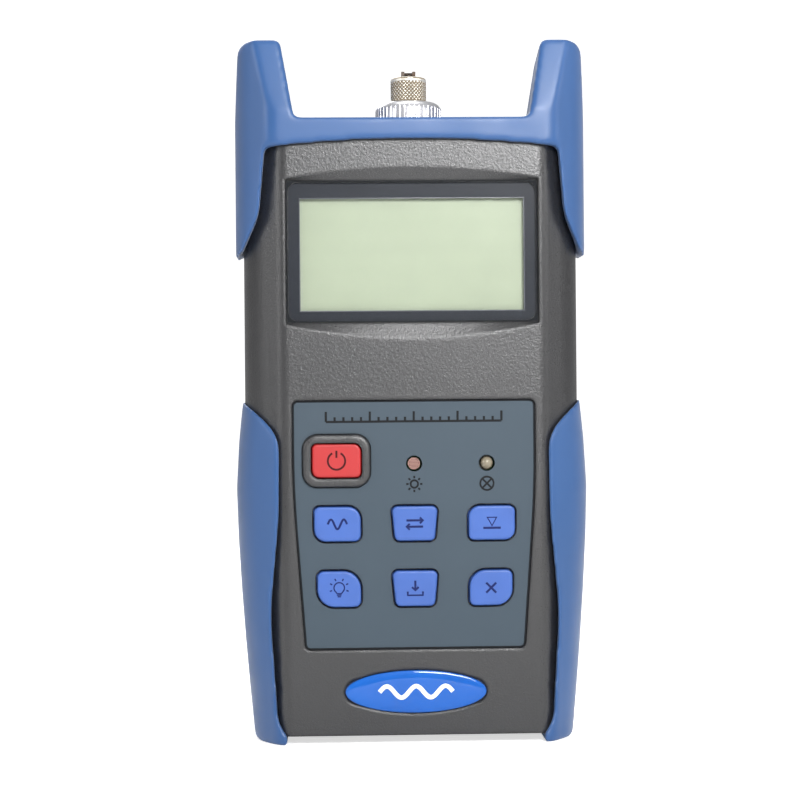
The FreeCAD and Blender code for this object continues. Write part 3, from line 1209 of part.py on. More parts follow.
def optical_port():
    """Detector housing with its photodiode, the connector sleeve and the fluted ring over it."""
    housing = new_body("detector_housing")
    turned(housing, "form", [
        ("diode_flange_radius + diode_gap", HOUSING_LOW),
        ("housing_radius", HOUSING_LOW),
        ("housing_radius", FLANGE_LOW),
        ("housing_flange_radius", FLANGE_LOW),
        ("housing_flange_radius", FLANGE_TOP),
        ("housing_radius - housing_thread_gap", FLANGE_TOP),
        ("housing_radius - housing_thread_gap", HOUSING_TOP),
        ("aperture_radius", HOUSING_TOP),
        ("aperture_radius", f"{DIODE_TOP} + diode_gap"),
        ("diode_radius + diode_gap", f"{DIODE_TOP} + diode_gap"),
        ("diode_radius + diode_gap", f"{DIODE_TOP} - diode_tall + diode_gap"),
        ("diode_flange_radius + diode_gap", f"{DIODE_TOP} - diode_tall + diode_gap"),
    ])
    diode = new_body("photodiode")
    turned(diode, "form", [
        ("0", f"{DIODE_TOP} - diode_tall - diode_flange_tall"),
        ("diode_flange_radius", f"{DIODE_TOP} - diode_tall - diode_flange_tall"),
        ("diode_flange_radius", f"{DIODE_TOP} - diode_tall"),
        ("diode_radius", f"{DIODE_TOP} - diode_tall"),
        ("diode_radius", DIODE_TOP),
        ("0", DIODE_TOP),
    ])
    sleeve = new_body("adapter_sleeve")
    seat = f"({HOUSING_TOP} + ring_gap)"
    turned(sleeve, "form", [
        ("ferrule_radius", seat),
        ("sleeve_flange_radius", seat),
        ("sleeve_flange_radius", f"{seat} + sleeve_flange_thick"),
        ("nose_radius", f"{seat} + sleeve_flange_thick"),
        ("nose_radius", NOSE_TOP),
        ("nose_cup_radius", NOSE_TOP),
        ("nose_cup_radius", f"{NOSE_TOP} - nose_cup_depth"),
        ("ferrule_radius", f"{NOSE_TOP} - nose_cup_depth"),
    ])
    ring = new_body("adapter_ring")
    turned(ring, "form", [
        ("housing_radius", RING_FOOT),
        ("ring_radius", RING_FOOT),
        ("ring_radius", RING_SHOULDER, None,
         (f"ring_top_radius + (ring_radius - ring_top_radius) * {ARC_MIDDLE}",
          f"{RING_SHOULDER} + ({RING_TOP} - {RING_SHOULDER}) * {ARC_MIDDLE}")),
        ("ring_top_radius", RING_TOP),
        ("nose_radius + ring_gap", RING_TOP),
        ("nose_radius + ring_gap", f"{seat} + sleeve_flange_thick + ring_gap"),
        ("housing_radius", f"{seat} + sleeve_flange_thick + ring_gap"),
    ])
    groove = new_sketch(ring, "flute_sketch", LEVEL, RING_TOP)
    circle(groove, "ring_radius + flute_out", "0", "flute_radius")
    flute = pocket(ring, "flute", groove, f"{RING_TOP} - {RING_FOOT}")
    doc.recompute()
    flutes = ring.newObject("PartDesign::PolarPattern", "adapter_ring_flutes")
    flutes.Originals = [flute]
    flutes.Axis = (next(f for f in ring.Origin.OriginFeatures if f.Role == "Z_Axis"), [""])
    flutes.Angle = 360
    bind(flutes, "Occurrences", "flute_count")
    ring.Tip = flutes


def dust_cap():
    """The screw cap over the nose and the swivel eye that is riveted through its crown."""
    cap = new_body("dust_cap")
    crown = f"({NOSE_TOP} + cap_crown_gap)"
    turned(cap, "form", [
        ("nose_radius + cap_gap", CAP_LOW),
        ("cap_radius", CAP_LOW),
        ("cap_radius", CAP_HIGH, "cap_round"),
        ("cap_post_radius", CAP_HIGH),
        ("cap_post_radius", crown),
        ("nose_radius + cap_gap", crown),
    ])
    plate = f"({CAP_HIGH} + eye_lift)"
    post = rod("eye_post", "cap_post_radius - post_gap", f"{plate} - {crown} + eye_lift + eye_rivet_thick",
               ("0", "0", f"{crown} - eye_lift - eye_rivet_thick"))
    rivet = rod("eye_rivet", "eye_rivet_radius", "eye_rivet_thick",
                ("0", "0", f"{crown} - eye_lift - eye_rivet_thick"))
    foot = rod("eye_plate", "eye_plate_radius", "eye_plate_thick", ("0", "0", plate))
    ears = [box(f"eye_ear_{number}", span, ("-eye_half_depth", "eye_half_depth"),
                (plate, f"{plate} + eye_tall"))
            for number, span in enumerate((("-eye_half_width", "-eye_half_width + eye_ear_thick"),
                                           ("eye_half_width - eye_ear_thick", "eye_half_width")))]
    pin = rod("eye_pin", "eye_pin_radius", "2 * eye_half_width",
              ("-eye_half_width", "0", f"{plate} + eye_pin_height"), "x")
    keep(fuse("cap_eye", [post, rivet, foot, pin] + ears), "cap_eye")


# ---------------------------------------------------------------- the whole meter

def check_model():
    """Stops if a feature failed, a cut removed nothing or a sub-part is not one sound shape."""
    for thing in doc.Objects:
        if {"Invalid", "Error"} & set(thing.State):
            raise RuntimeError(f"{thing.Name} failed: {thing.State}")
        if thing.TypeId in ("PartDesign::Pocket", "PartDesign::SubtractiveLoft", "PartDesign::Groove"):
            if thing.BaseFeature.Shape.Volume - thing.Shape.Volume < 0.001:
                raise RuntimeError(f"{thing.Name} removes nothing")
    for node in nodes:
        if node.Shape.isNull() or not node.Shape.isValid() or node.Shape.Volume <= 0:
            raise RuntimeError(f"{node.Label} is not a sound solid")


def export():
    """Writes one STEP file for each sub-part."""
    os.makedirs("parts", exist_ok=True)
    for node in nodes:
        node.Shape.exportStep(f"parts/{node.Label}.step")


front_shell()
back_shell()
top_bumper()
side_grips()
display()
panel_overlay()
for key_name, key_x, key_z, key_level in KEYS:
    key(key_name, key_x, key_z, key_level)
keypad_mat()
lamp_and_sensor()
badge()
main_board()
board_components()
screws("case_screws", SCREW_PLACES, "screw_head_radius", "screw_head_height", "screw_radius",
       "case_half_depth - screw_sink + screw_reach", "case_half_depth - screw_sink",
       ("screw_drive_radius", "screw_drive_depth"))
screws("board_screws", BOARD_SCREW_PLACES, "board_head_radius", "board_head_height", "board_screw_radius",
       "board_thick + board_screw_reach", f"-{BOARD_BACK}", ("screw_drive_radius", "board_drive_depth"))
batteries()
battery_door()
optical_port()
dust_cap()
doc.recompute()
check_model()
export()
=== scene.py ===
"""Looks of a handheld optical power meter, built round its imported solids.

The meter stands on the feet of its two side grips: +Z runs up, +X to the reader's right and the
keypad faces -Y.  Meshes are in metres, in the frame of the solids.  The sizes that the classes
hold are in millimetres, apart from the studio's.  A level is a distance in front of the mid plane.
"""
import json
import logging
import math
from dataclasses import dataclass
from enum import Enum
from typing import Optional, Sequence, Union

import bmesh
import bpy
from mathutils import Matrix, Vector

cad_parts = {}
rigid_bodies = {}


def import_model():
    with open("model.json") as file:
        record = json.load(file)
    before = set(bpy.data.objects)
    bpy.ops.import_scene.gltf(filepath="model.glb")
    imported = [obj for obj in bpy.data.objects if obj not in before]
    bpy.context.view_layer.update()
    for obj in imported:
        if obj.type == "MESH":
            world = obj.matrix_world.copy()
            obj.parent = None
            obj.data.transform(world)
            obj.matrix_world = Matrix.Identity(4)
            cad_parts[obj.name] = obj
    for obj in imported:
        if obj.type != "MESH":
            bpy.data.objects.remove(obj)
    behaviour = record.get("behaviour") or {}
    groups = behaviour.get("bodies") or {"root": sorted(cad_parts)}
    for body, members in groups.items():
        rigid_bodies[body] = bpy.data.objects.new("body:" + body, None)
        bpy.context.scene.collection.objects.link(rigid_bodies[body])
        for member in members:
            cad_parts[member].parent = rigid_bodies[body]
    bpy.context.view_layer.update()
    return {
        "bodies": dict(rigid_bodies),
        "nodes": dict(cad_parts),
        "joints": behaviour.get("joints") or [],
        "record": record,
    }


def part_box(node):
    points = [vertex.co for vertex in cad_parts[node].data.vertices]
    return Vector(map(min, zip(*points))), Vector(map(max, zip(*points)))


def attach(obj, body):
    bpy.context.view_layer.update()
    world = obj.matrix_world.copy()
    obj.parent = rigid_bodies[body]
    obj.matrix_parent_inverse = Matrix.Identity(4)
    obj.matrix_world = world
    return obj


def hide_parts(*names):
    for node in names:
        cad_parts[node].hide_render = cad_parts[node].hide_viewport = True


LOG = logging.getLogger("power_meter")
MM = 0.001
MERGE = 1e-7  # vertices nearer than this, in metres, are one
NEAR = 1e-6  # how far off a level a vertex may lie, in metres
INK_MM = 0.03  # how thick a print is

Point = tuple[float, float]
Spot = tuple[float, float, float]
Tree, Node, Socket = bpy.types.NodeTree, bpy.types.Node, bpy.types.NodeSocket
Mesh, Piece, Shape = bpy.types.Mesh, bpy.types.Object, bmesh.types.BMesh
Inputs = dict[Union[str, int], Union[float, tuple, Socket]]


# ---------------- colours and nodes

def linear(code: str) -> tuple[float, float, float, float]:
    """Turns an sRGB hex colour into a linear one.

    Args:
        code: the colour as "#rrggbb".

    Returns:
        The linear red, green and blue, and an alpha of 1.
    """
    parts = [int(code[i:i + 2], 16) / 255 for i in (1, 3, 5)]
    low = [p / 12.92 if p <= 0.04045 else ((p + 0.055) / 1.055) ** 2.4 for p in parts]
    return (low[0], low[1], low[2], 1.0)


def feed(tree: Tree, made: Node, inputs: Inputs) -> None:
    """Gives a node its values and its links.

    Args:
        tree: the tree that it is in.
        made: the node.
        inputs: for each input, by name or number, a value or the socket that feeds it.
    """
    for name, given in inputs.items():
        if isinstance(given, Socket):
            tree.links.new(given, made.inputs[name])
        else:
            made.inputs[name].default_value = given


def node(tree: Tree, kind: str, inputs: Optional[Inputs] = None, **settings: object) -> Node:
    """Adds a node with its settings, its values and its links.

    Args:
        tree: the node tree that gets the node.
        kind: the node's type, without its "ShaderNode" prefix.
        inputs: its inputs, as feed() takes them.
        **settings: the node's own properties.

    Returns:
        The new node.
    """
    made = tree.nodes.new(f"ShaderNode{kind}")
    for name, choice in settings.items():
        setattr(made, name, choice)
    feed(tree, made, inputs or {})
    return made


def relief(tree: Tree, place: Socket, size_mm: float, depth_mm: float, detail: float,
           strength: float, under: Optional[Socket] = None) -> Socket:
    """The normal of a fine, uneven surface.

    Args:
        tree: the material's tree.
        place: the coordinates that its pattern reads, in metres.
        size_mm: how wide its bumps are.
        depth_mm: how deep they are.
        detail: how many finer layers lie over them.
        strength: how much of them shows.
        under: the normal that they lie on, where that isn't the face's own.

    Returns:
        The normal's socket.
    """
    bumps = node(tree, "TexNoise", {"Vector": place, "Scale": 1 / (size_mm * MM),
                                    "Detail": detail})
    inputs = {"Height": bumps.outputs["Fac"], "Distance": depth_mm * MM, "Strength": strength}
    if under is not None:
        inputs["Normal"] = under
    return node(tree, "Bump", inputs).outputs["Normal"]


def seen_straight(tree: Tree) -> Socket:
    """Whether a ray comes from the camera, straight or through something clear.

    Args:
        tree: the tree of a material or of the world.

    Returns:
        The socket: 1 where it does, else 0.
    """
    path = node(tree, "LightPath").outputs
    either = node(tree, "Math", {0: path["Is Camera Ray"], 1: path["Is Transmission Ray"]},
                  operation="MAXIMUM")
    return either.outputs[0]


# ---------------- finishes

@dataclass(frozen=True)
class Finish:
    """A finish: its name, its colour, its roughness and what feeds its shader.

    The subclasses fill in wire(); the base makes the material once and hands it out.
    """

    name: str
    colour: str
    roughness: float = 0.5

    def material(self) -> bpy.types.Material:
        """Makes the material, or finds it if it is there.

        Returns:
            The node material of this finish.
        """
        found = bpy.data.materials.get(self.name)
        if found is not None:
            return found
        made = bpy.data.materials.new(self.name)
        made.use_nodes = True
        tree = made.node_tree
        shader = tree.nodes["Principled BSDF"]
        place = node(tree, "TexCoord").outputs["Object"]
        plain = {"Base Color": linear(self.colour), "Roughness": self.roughness}
        feed(tree, shader, {**plain, **self.wire(tree, place)})
        made.diffuse_color = linear(self.colour)
        return made

    def wire(self, tree: Tree, place: Socket) -> Inputs:
        """Makes the finish's nodes.

        Args:
            tree: the material's tree.
            place: the object coordinates, in metres.

        Returns:
            What feeds the inputs of the material's principled shader.
        """
        raise NotImplementedError


@dataclass(frozen=True)
class Mottled(Finish):
    """A finish whose colour changes slowly and faintly over it, as mouldings and prints do."""

    patch_mm: float = 20.0
    spread: float = 0.05

    def mottle(self, tree: Tree, place: Socket) -> Socket:
        """The colour, lighter and darker by the spread in patches.

        Args:
            tree: the material's tree.
            place: the object coordinates.

        Returns:
            The colour's socket.
        """
        cloud = node(tree, "TexNoise", {"Vector": place, "Scale": 1 / (self.patch_mm * MM),
                                        "Detail": 3.0})
        red, green, blue, _ = linear(self.colour)
        ramp = node(tree, "ValToRGB", {"Fac": cloud.outputs["Fac"]})
        shares = (1 - self.spread, 1 + self.spread)
        for stop, share, spot in zip(ramp.color_ramp.elements, shares, (0.3, 0.7)):
            stop.position = spot
            stop.color = (red * share, green * share, blue * share, 1.0)
        return ramp.outputs["Color"]


@dataclass(frozen=True)
class MouldedGrain(Mottled):
    """ABS moulded in a spark-eroded tool: a fine pebbled grain that breaks the highlight up."""

    patch_mm: float = 24.0
    grain_mm: float = 0.55
    depth_mm: float = 0.065
    gloss: float = 0.5
    edge_mm: float = 0.25
    seam: bool = False
    seam_half_mm: float = 0.14
    seam_colour: str = "#141414"

    def wire(self, tree: Tree, place: Socket) -> Inputs:
        """Wires colour, grain and the parting line.

        Args:
            tree: the material's tree.
            place: the object coordinates, in metres.

        Returns:
            What feeds the shader.
        """
        colour = self.mottle(tree, place)
        cells = node(tree, "TexVoronoi", {"Vector": place, "Scale": 1 / (self.grain_mm * MM),
                                          "Smoothness": 0.7}, feature="SMOOTH_F1")
        grit = node(tree, "TexNoise", {"Vector": place, "Scale": 2.2 / (self.grain_mm * MM),
                                       "Detail": 2.0})
        height = node(tree, "Math", {0: cells.outputs["Distance"], 1: 0.7,
                                     2: grit.outputs["Fac"]}, operation="MULTIPLY_ADD")
        rough = node(tree, "MapRange", {
            "Value": grit.outputs["Fac"], "From Min": 0.3, "From Max": 0.7,
            "To Min": self.roughness - 0.09, "To Max": self.roughness + 0.09})
        broken = node(tree, "Bevel", {"Radius": self.edge_mm * MM}, samples=6)
        bump = node(tree, "Bump", {
            "Height": height.outputs[0], "Distance": self.depth_mm * MM, "Strength": 0.9,
            "Normal": broken.outputs["Normal"]})
        if self.seam:
            split = node(tree, "SeparateXYZ", {"Vector": place})
            off = node(tree, "Math", {0: split.outputs["Y"]}, operation="ABSOLUTE")
            line = node(tree, "Math", {0: off.outputs[0], 1: self.seam_half_mm * MM},
                        operation="LESS_THAN")
            colour = node(tree, "Mix", {"Factor": line.outputs[0], "A": colour,
                                        "B": linear(self.seam_colour)},
                          data_type="RGBA").outputs["Result"]
        return {"Base Color": colour, "Roughness": rough.outputs["Result"],
                "Normal": bump.outputs["Normal"], "Specular IOR Level": self.gloss}


@dataclass(frozen=True)
class SoftElastomer(Mottled):
    """Thermoplastic elastomer moulded over the case: satin, with a fine matte skin."""

    patch_mm: float = 30.0
    spread: float = 0.04
    skin_mm: float = 0.22
    worn_mm: float = 9.0

    def wire(self, tree: Tree, place: Socket) -> Inputs:
        """Wires colour, skin and the soft sheen.

        Args:
            tree: the material's tree.
            place: the object coordinates, in metres.

        Returns:
            What feeds the shader.
        """
        worn = node(tree, "TexNoise", {"Vector": place, "Scale": 1 / (self.worn_mm * MM),
                                       "Detail": 4.0})
        rough = node(tree, "MapRange", {
            "Value": worn.outputs["Fac"], "From Min": 0.35, "From Max": 0.65,
            "To Min": self.roughness - 0.05, "To Max": self.roughness + 0.06})
        skin = relief(tree, place, self.skin_mm, 0.012, detail=3.0, strength=0.7)
        return {"Base Color": self.mottle(tree, place), "Roughness": rough.outputs["Result"],
                "Normal": skin, "Sheen Weight": 0.15, "Sheen Roughness": 0.5}


@dataclass(frozen=True)
class PrintedFilm(Mottled):
    """Polyester film with a velvet print: even and matte, with a very fine orange peel."""

    patch_mm: float = 18.0
    spread: float = 0.03
    peel_mm: float = 0.3

    def wire(self, tree: Tree, place: Socket) -> Inputs:
        """Wires colour and peel.

        Args:
            tree: the material's tree.
            place: the object coordinates, in metres.

        Returns:
            What feeds the shader.
        """
        peel = relief(tree, place, self.peel_mm, 0.008, detail=2.0, strength=0.6)
        return {"Base Color": self.mottle(tree, place), "Normal": peel,
                "Specular IOR Level": 0.25}


@dataclass(frozen=True)
class KeyRubber(Mottled):
    """Coated silicone rubber of a key: satin, smooth, with a faint moulding texture."""

    patch_mm: float = 7.0
    coat: float = 0.25
    edge_mm: float = 0.7
    skin_mm: float = 0.35

    def wire(self, tree: Tree, place: Socket) -> Inputs:
        """Wires colour, texture and coat.

        Args:
            tree: the material's tree.
            place: the object coordinates, in metres.

        Returns:
            What feeds the shader.
        """
        broken = node(tree, "Bevel", {"Radius": self.edge_mm * MM}, samples=6)
        skin = relief(tree, place, self.skin_mm, 0.01, detail=3.0, strength=0.6,
                      under=broken.outputs["Normal"])
        return {"Base Color": self.mottle(tree, place), "Normal": skin,
                "Coat Weight": self.coat, "Coat Roughness": 0.35}


@dataclass(frozen=True)
class DomedResin(Finish):
    """Poured epoxy dome over a printed sheet: deep, wet gloss."""

    deep: str = "#0950a6"
    cloud_mm: float = 11.0
    swell_mm: float = 5.0

    def wire(self, tree: Tree, place: Socket) -> Inputs:
        """Wires the print's slow change and the gloss.

        Args:
            tree: the material's tree.
            place: the object coordinates, in metres.

        Returns:
            What feeds the shader.
        """
        cloud = node(tree, "TexNoise", {"Vector": place, "Scale": 1 / (self.cloud_mm * MM),
                                        "Detail": 1.0})
        tint = node(tree, "Mix", {"Factor": cloud.outputs["Fac"], "A": linear(self.deep),
                                  "B": linear(self.colour)}, data_type="RGBA")
        swell = relief(tree, place, self.swell_mm, 0.02, detail=1.0, strength=0.5)
        return {"Base Color": tint.outputs["Result"], "Specular IOR Level": 0.1,
                "Coat Weight": 1.0, "Coat Roughness": 0.03, "Coat Normal": swell}


@dataclass(frozen=True)
class ClearWindow(Finish):
    """Clear acrylic or epoxy: almost nothing but its gloss shows."""

    alpha: float = 0.08
    haze_mm: float = 14.0

    def wire(self, tree: Tree, place: Socket) -> Inputs:
        """Wires haze and a slight wear.

        Args:
            tree: the material's tree.
            place: the object coordinates, in metres.

        Returns:
            What feeds the shader.
        """
        haze = node(tree, "TexNoise", {"Vector": place, "Scale": 1 / (self.haze_mm * MM),
                                       "Detail": 5.0}).outputs["Fac"]
        rough = node(tree, "MapRange", {"Value": haze, "To Min": 0.03, "To Max": 0.16})
        thin = node(tree, "MapRange", {"Value": haze, "To Min": self.alpha * 0.8,
                                       "To Max": self.alpha * 1.2})
        return {"Roughness": rough.outputs["Result"], "Alpha": thin.outputs["Result"],
                "IOR": 1.49, "Specular IOR Level": 1.0}


@dataclass(frozen=True)
class LiquidCrystal(Finish):
    """Reflective liquid crystal cell, blank: pale grey green, with a faint veil and rows.

    The rows are drawn far coarser than the cell's own, as coarse as they need to show at all.
    """

    row_mm: float = 5.655
    veil_mm: float = 16.0

    def wire(self, tree: Tree, place: Socket) -> Inputs:
        """Wires veil and rows.

        Args:
            tree: the material's tree.
            place: the object coordinates, in metres.

        Returns:
            What feeds the shader.
        """
        # The texture repeats a full turn over 20 times its scale, and the scale is set from that.
        rows = node(tree, "TexWave", {"Vector": place, "Distortion": 0.0,
                                      "Scale": math.tau / 20 / (self.row_mm * MM)},
                    bands_direction="Z")
        veil = node(tree, "TexNoise", {"Vector": place, "Scale": 1 / (self.veil_mm * MM),
                                       "Detail": 2.0})
        mixed = node(tree, "Math", {0: rows.outputs["Fac"], 1: 0.12, 2: veil.outputs["Fac"]},
                     operation="MULTIPLY_ADD")
        red, green, blue, _ = linear(self.colour)
        ramp = node(tree, "ValToRGB", {"Fac": mixed.outputs[0]})
        for stop, share, spot in zip(ramp.color_ramp.elements, (0.96, 1.03), (0.3, 0.8)):
            stop.position = spot
            stop.color = (red * share, green * share, blue * share, 1.0)
        return {"Base Color": ramp.outputs["Color"]}


@dataclass(frozen=True)
class TurnedMetal(Finish):
    """Turned and plated brass, or plain steel: fine tool marks and a soft, uneven polish."""

    marks_mm: float = 0.12
    tarnish_mm: float = 1.6
    dirt: str = "#6d6256"
    metal: float = 1.0

    def wire(self, tree: Tree, place: Socket) -> Inputs:
        """Wires marks, tarnish and polish.

        Args:
            tree: the material's tree.
            place: the object coordinates, in metres.

        Returns:
            What feeds the shader.
        """
        # The marks run round the turning axis, so they are drawn out across and kept fine upwards.
        drawn_out = node(tree, "Mapping", {"Vector": place, "Scale": (0.15, 0.15, 1.0)})
        marks = relief(tree, drawn_out.outputs["Vector"], self.marks_mm, 0.01, detail=3.0,
                       strength=0.6)
        tarnish = node(tree, "TexNoise", {"Vector": place, "Scale": 1 / (self.tarnish_mm * MM),
                                          "Detail": 5.0}).outputs["Fac"]
        stain = node(tree, "MapRange", {"Value": tarnish, "From Min": 0.5, "From Max": 0.8,
                                        "To Min": 0.0, "To Max": 0.45})
        tint = node(tree, "Mix", {"Factor": stain.outputs["Result"], "A": linear(self.colour),
                                  "B": linear(self.dirt)}, data_type="RGBA")
        rough = node(tree, "MapRange", {
            "Value": tarnish, "From Min": 0.3, "From Max": 0.7,
            "To Min": self.roughness - 0.06, "To Max": self.roughness + 0.1})
        return {"Base Color": tint.outputs["Result"], "Roughness": rough.outputs["Result"],
                "Normal": marks, "Metallic": self.metal}


@dataclass(frozen=True)
class PlainCoat(Mottled):
    """Ink, lacquer, solder mask or moulded epoxy: one even coat with a little unevenness."""

    patch_mm: float = 2.5
    spread: float = 0.06
    grit_mm: float = 0.2
    shine: float = 0.5

    def wire(self, tree: Tree, place: Socket) -> Inputs:
        """Wires colour and a slight bump.

        Args:
            tree: the material's tree.
            place: the object coordinates, in metres.

        Returns:
            What feeds the shader.
        """
        grit = relief(tree, place, self.grit_mm, 0.006, detail=2.0, strength=0.5)
        return {"Base Color": self.mottle(tree, place), "Normal": grit,
                "Specular IOR Level": self.shine}


class Slot(Enum):
    """The record's material slots, each with its finish."""

    # Case and grips: glossy ABS whose grain breaks the light up, and a satin blue overmould.
    SHELL_GREY = MouldedGrain("abs_spark_grain", "#1f1f21", 0.35, seam=True, gloss=0.95,
                              edge_mm=1.1)
    BUMPER_BLUE = SoftElastomer("elastomer_blue", "#295083", 0.4)
    # Display: a clear plate, a finer black grain in the recess, a pale cell on a milky guide.
    LENS_CLEAR = ClearWindow("acrylic_clear", "#2a2f33", 0.06, alpha=0.12)
    INNER_PLASTIC = MouldedGrain("abs_black_inner", "#1b1b1c", 0.5, grain_mm=0.3)
    CRYSTAL_CELL = LiquidCrystal("crystal_cell_grey_green", "#bdc9ae", 0.35)
    LIGHT_GUIDE = PlainCoat("acrylic_light_guide", "#e9ece0", 0.4)
    CONTACT_RUBBER = PlainCoat("silicone_contact_strip", "#2c2c2e", 0.6)
    # Keypad: a velvety blue grey film round satin keys, with a dull mat under them.
    PANEL_FILM = PrintedFilm("polyester_film_blue_grey", "#404c56", 0.5)
    KEY_RED = KeyRubber("key_rubber_red", "#ab1c1e", 0.45)
    KEY_BLUE = KeyRubber("key_rubber_blue", "#365ba6", 0.45)
    MAT_RUBBER = PlainCoat("silicone_mat", "#8b8c8e", 0.6)
    # Small things on the face: a milky lamp, a lacquered disc and a wet, deep blue dome.
    LAMP_CLEAR = ClearWindow("epoxy_lamp_dome", "#8f8672", 0.08, alpha=0.8)
    SENSOR_CERAMIC = PlainCoat("lacquered_ceramic", "#a07c72", 0.3)
    BADGE_BLUE = DomedResin("resin_dome_blue", "#0b60bd", 0.4)
    # Inside: a glossy board, dull chips, bright screws and shiny jackets.
    BOARD_GREEN = PlainCoat("solder_mask_green", "#1c5c33", 0.35)
    CHIP_BLACK = PlainCoat("moulded_epoxy_black", "#17181a", 0.55)
    SCREW_STEEL = TurnedMetal("zinc_plated_steel", "#b9bbbd", 0.3)
    CELL_JACKET = PlainCoat("shrink_film_jacket", "#2f3237", 0.22, patch_mm=20.0)
    CONTACT_STEEL = TurnedMetal("nickel_plated_spring_steel", "#c9c6bd", 0.25)
    # Port: cool plated brass, a warmer knurled cap and a dark, rusty eye.
    NICKEL = TurnedMetal("nickel_plated_brass", "#d4d4d8", 0.3, metal=0.8)
    CAP_NICKEL = TurnedMetal("knurled_nickel", "#f4efe4", 0.36, dirt="#cfc4ae", metal=0.7)
    EYE_DARK = TurnedMetal("burnished_steel", "#3b3531", 0.4, dirt="#5b3f2a")


# Finishes that are printed or laid over a slot's own: inks, painted shade lines, a painted
# highlight round the window and a darker colour for the knurl's grooves.
INK_BLACK = PlainCoat("ink_black", "#141518", 0.6, shine=0.2)
INK_NAVY = PlainCoat("ink_navy", "#151f55", 0.6, shine=0.2)
INK_MAROON = PlainCoat("ink_maroon", "#3c0d10", 0.6, shine=0.2)
INK_WHITE = PlainCoat("ink_white", "#f2f6fb", 0.3)
BORDER_BLACK = PlainCoat("border_print_black", "#2b2e35", 0.35, patch_mm=9.0, shine=0.2)
GROOVE_SHADE = PlainCoat("groove_shade", "#1f2124", 0.7, shine=0.1)
# painted highlight for the line round the display window
WINDOW_HIGHLIGHT = PlainCoat("window_highlight_paint", "#6b6e74", 0.3)
# painted shade for the line round the badge's foot
BADGE_FOOT_SHADE = PlainCoat("badge_foot_painted_shade", "#12294f", 0.4)
TRACK_RED = PlainCoat("track_red", "#5e2b26", 0.4)
# a darker colour for the faces deep in the knurl's grooves
KNURL_GROOVE_DARK = PlainCoat("knurl_groove_dark", "#7d6f59", 0.5, patch_mm=1.0)


# ---------------- making pieces

@dataclass(frozen=True)
class Span:
    """The box of one solid at rest."""

    low: Spot
    high: Spot

    @classmethod
    def of(cls, name: str) -> "Span":
        """Reads the box of a solid.

        Args:
            name: the solid's name.

        Returns:
            Its span.
        """
        low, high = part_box(name)
        return cls(tuple(v / MM for v in low), tuple(v / MM for v in high))

    @property
    def middle(self) -> Point:
        """Its middle, across and up."""
        return ((self.low[0] + self.high[0]) / 2, (self.low[2] + self.high[2]) / 2)

    @property
    def size(self) -> Point:
        """Its width and height."""
        return (self.high[0] - self.low[0], self.high[2] - self.low[2])

    @property
    def front(self) -> float:
        """The level of its face."""
        return -self.low[1]

    @property
    def back(self) -> float:
        """The level of its back."""
        return -self.high[1]


def finished(name: str, mesh: Mesh, slot: Slot, body: str = "case",
             finish: Optional[Finish] = None, replaced: Sequence[str] = (),
             smooth: bool = True) -> None:
    """Makes a mesh a piece that stays at the origin, rides a body and has its finish.

    Args:
        name: the piece's name.
        mesh: its mesh, already in place.
        slot: the slot that it belongs to.
        body: the body that it rides.
        finish: its own finish, where it isn't the slot's.
        replaced: the solids that it stands for.
        smooth: whether its faces are shaded smooth.
    """
    mesh.name = name
    mesh.materials.clear()
    mesh.materials.append((finish or slot.value).material())
    mesh.polygons.foreach_set("use_smooth", [smooth] * len(mesh.polygons))
    piece = bpy.data.objects.new(name, mesh)
    bpy.context.scene.collection.objects.link(piece)
    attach(piece, body)
    if replaced:
        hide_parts(*replaced)
    LOG.info("piece %s: %d faces, rides %s", name, len(mesh.polygons), body)


def to_mesh(shape: Shape, name: str) -> Mesh:
    """Turns a finished bmesh into a mesh with its normals outwards.

    Args:
        shape: the bmesh, which is freed.
        name: the mesh's name.

    Returns:
        The mesh.
    """
    bmesh.ops.remove_doubles(shape, verts=shape.verts, dist=MERGE)
    bmesh.ops.recalc_face_normals(shape, faces=shape.faces)
    mesh = bpy.data.meshes.new(name)
    shape.to_mesh(mesh)
    shape.free()
    return mesh


def applied(piece: Piece) -> Mesh:
    """The mesh of an object with its modifiers applied.

    Args:
        piece: the object, which is removed.

    Returns:
        A new mesh.
    """
    graph = bpy.context.evaluated_depsgraph_get()
    graph.update()
    mesh = bpy.data.meshes.new_from_object(piece.evaluated_get(graph))
    bpy.data.objects.remove(piece)
    return mesh


def facing(level: float, centre: Point) -> Matrix:
    """Stands a shape that lies flat up, so that it looks to -Y.

    Args:
        level: the level that it lands on.
        centre: where its middle lands, across and up.

    Returns:
        The matrix.
    """
    spot = Matrix.Translation((centre[0] * MM, -level * MM, centre[1] * MM))
    return spot @ Matrix.Rotation(math.pi / 2, 4, "X")


def new_verts(made: dict, key: str = "geom") -> list[bmesh.types.BMVert]:
    """The vertices among what an operator made.

    Args:
        made: the operator's result.
        key: the entry to look in.

    Returns:
        The vertices.
    """
    return [item for item in made[key] if isinstance(item, bmesh.types.BMVert)]


def plate(shape: Shape, size: Point, centre: Point, corner: float, level: float) -> None:
    """Adds a flat face with round corners that looks to -Y.

    Args:
        shape: the bmesh that gets it.
        size: its width and height.
        centre: its middle, across and up.
        corner: the radius of its corners.
        level: its level.
    """
    made = bmesh.ops.create_grid(
        shape, x_segments=1, y_segments=1, size=0.5 * MM,
        matrix=facing(level, centre) @ Matrix.Diagonal((size[0], size[1], 1, 1)))
    bmesh.ops.bevel(shape, geom=made["verts"], offset=corner * MM, segments=8, profile=0.5,
                    affect="VERTICES", material=-1)


# ---------------- drawing lines

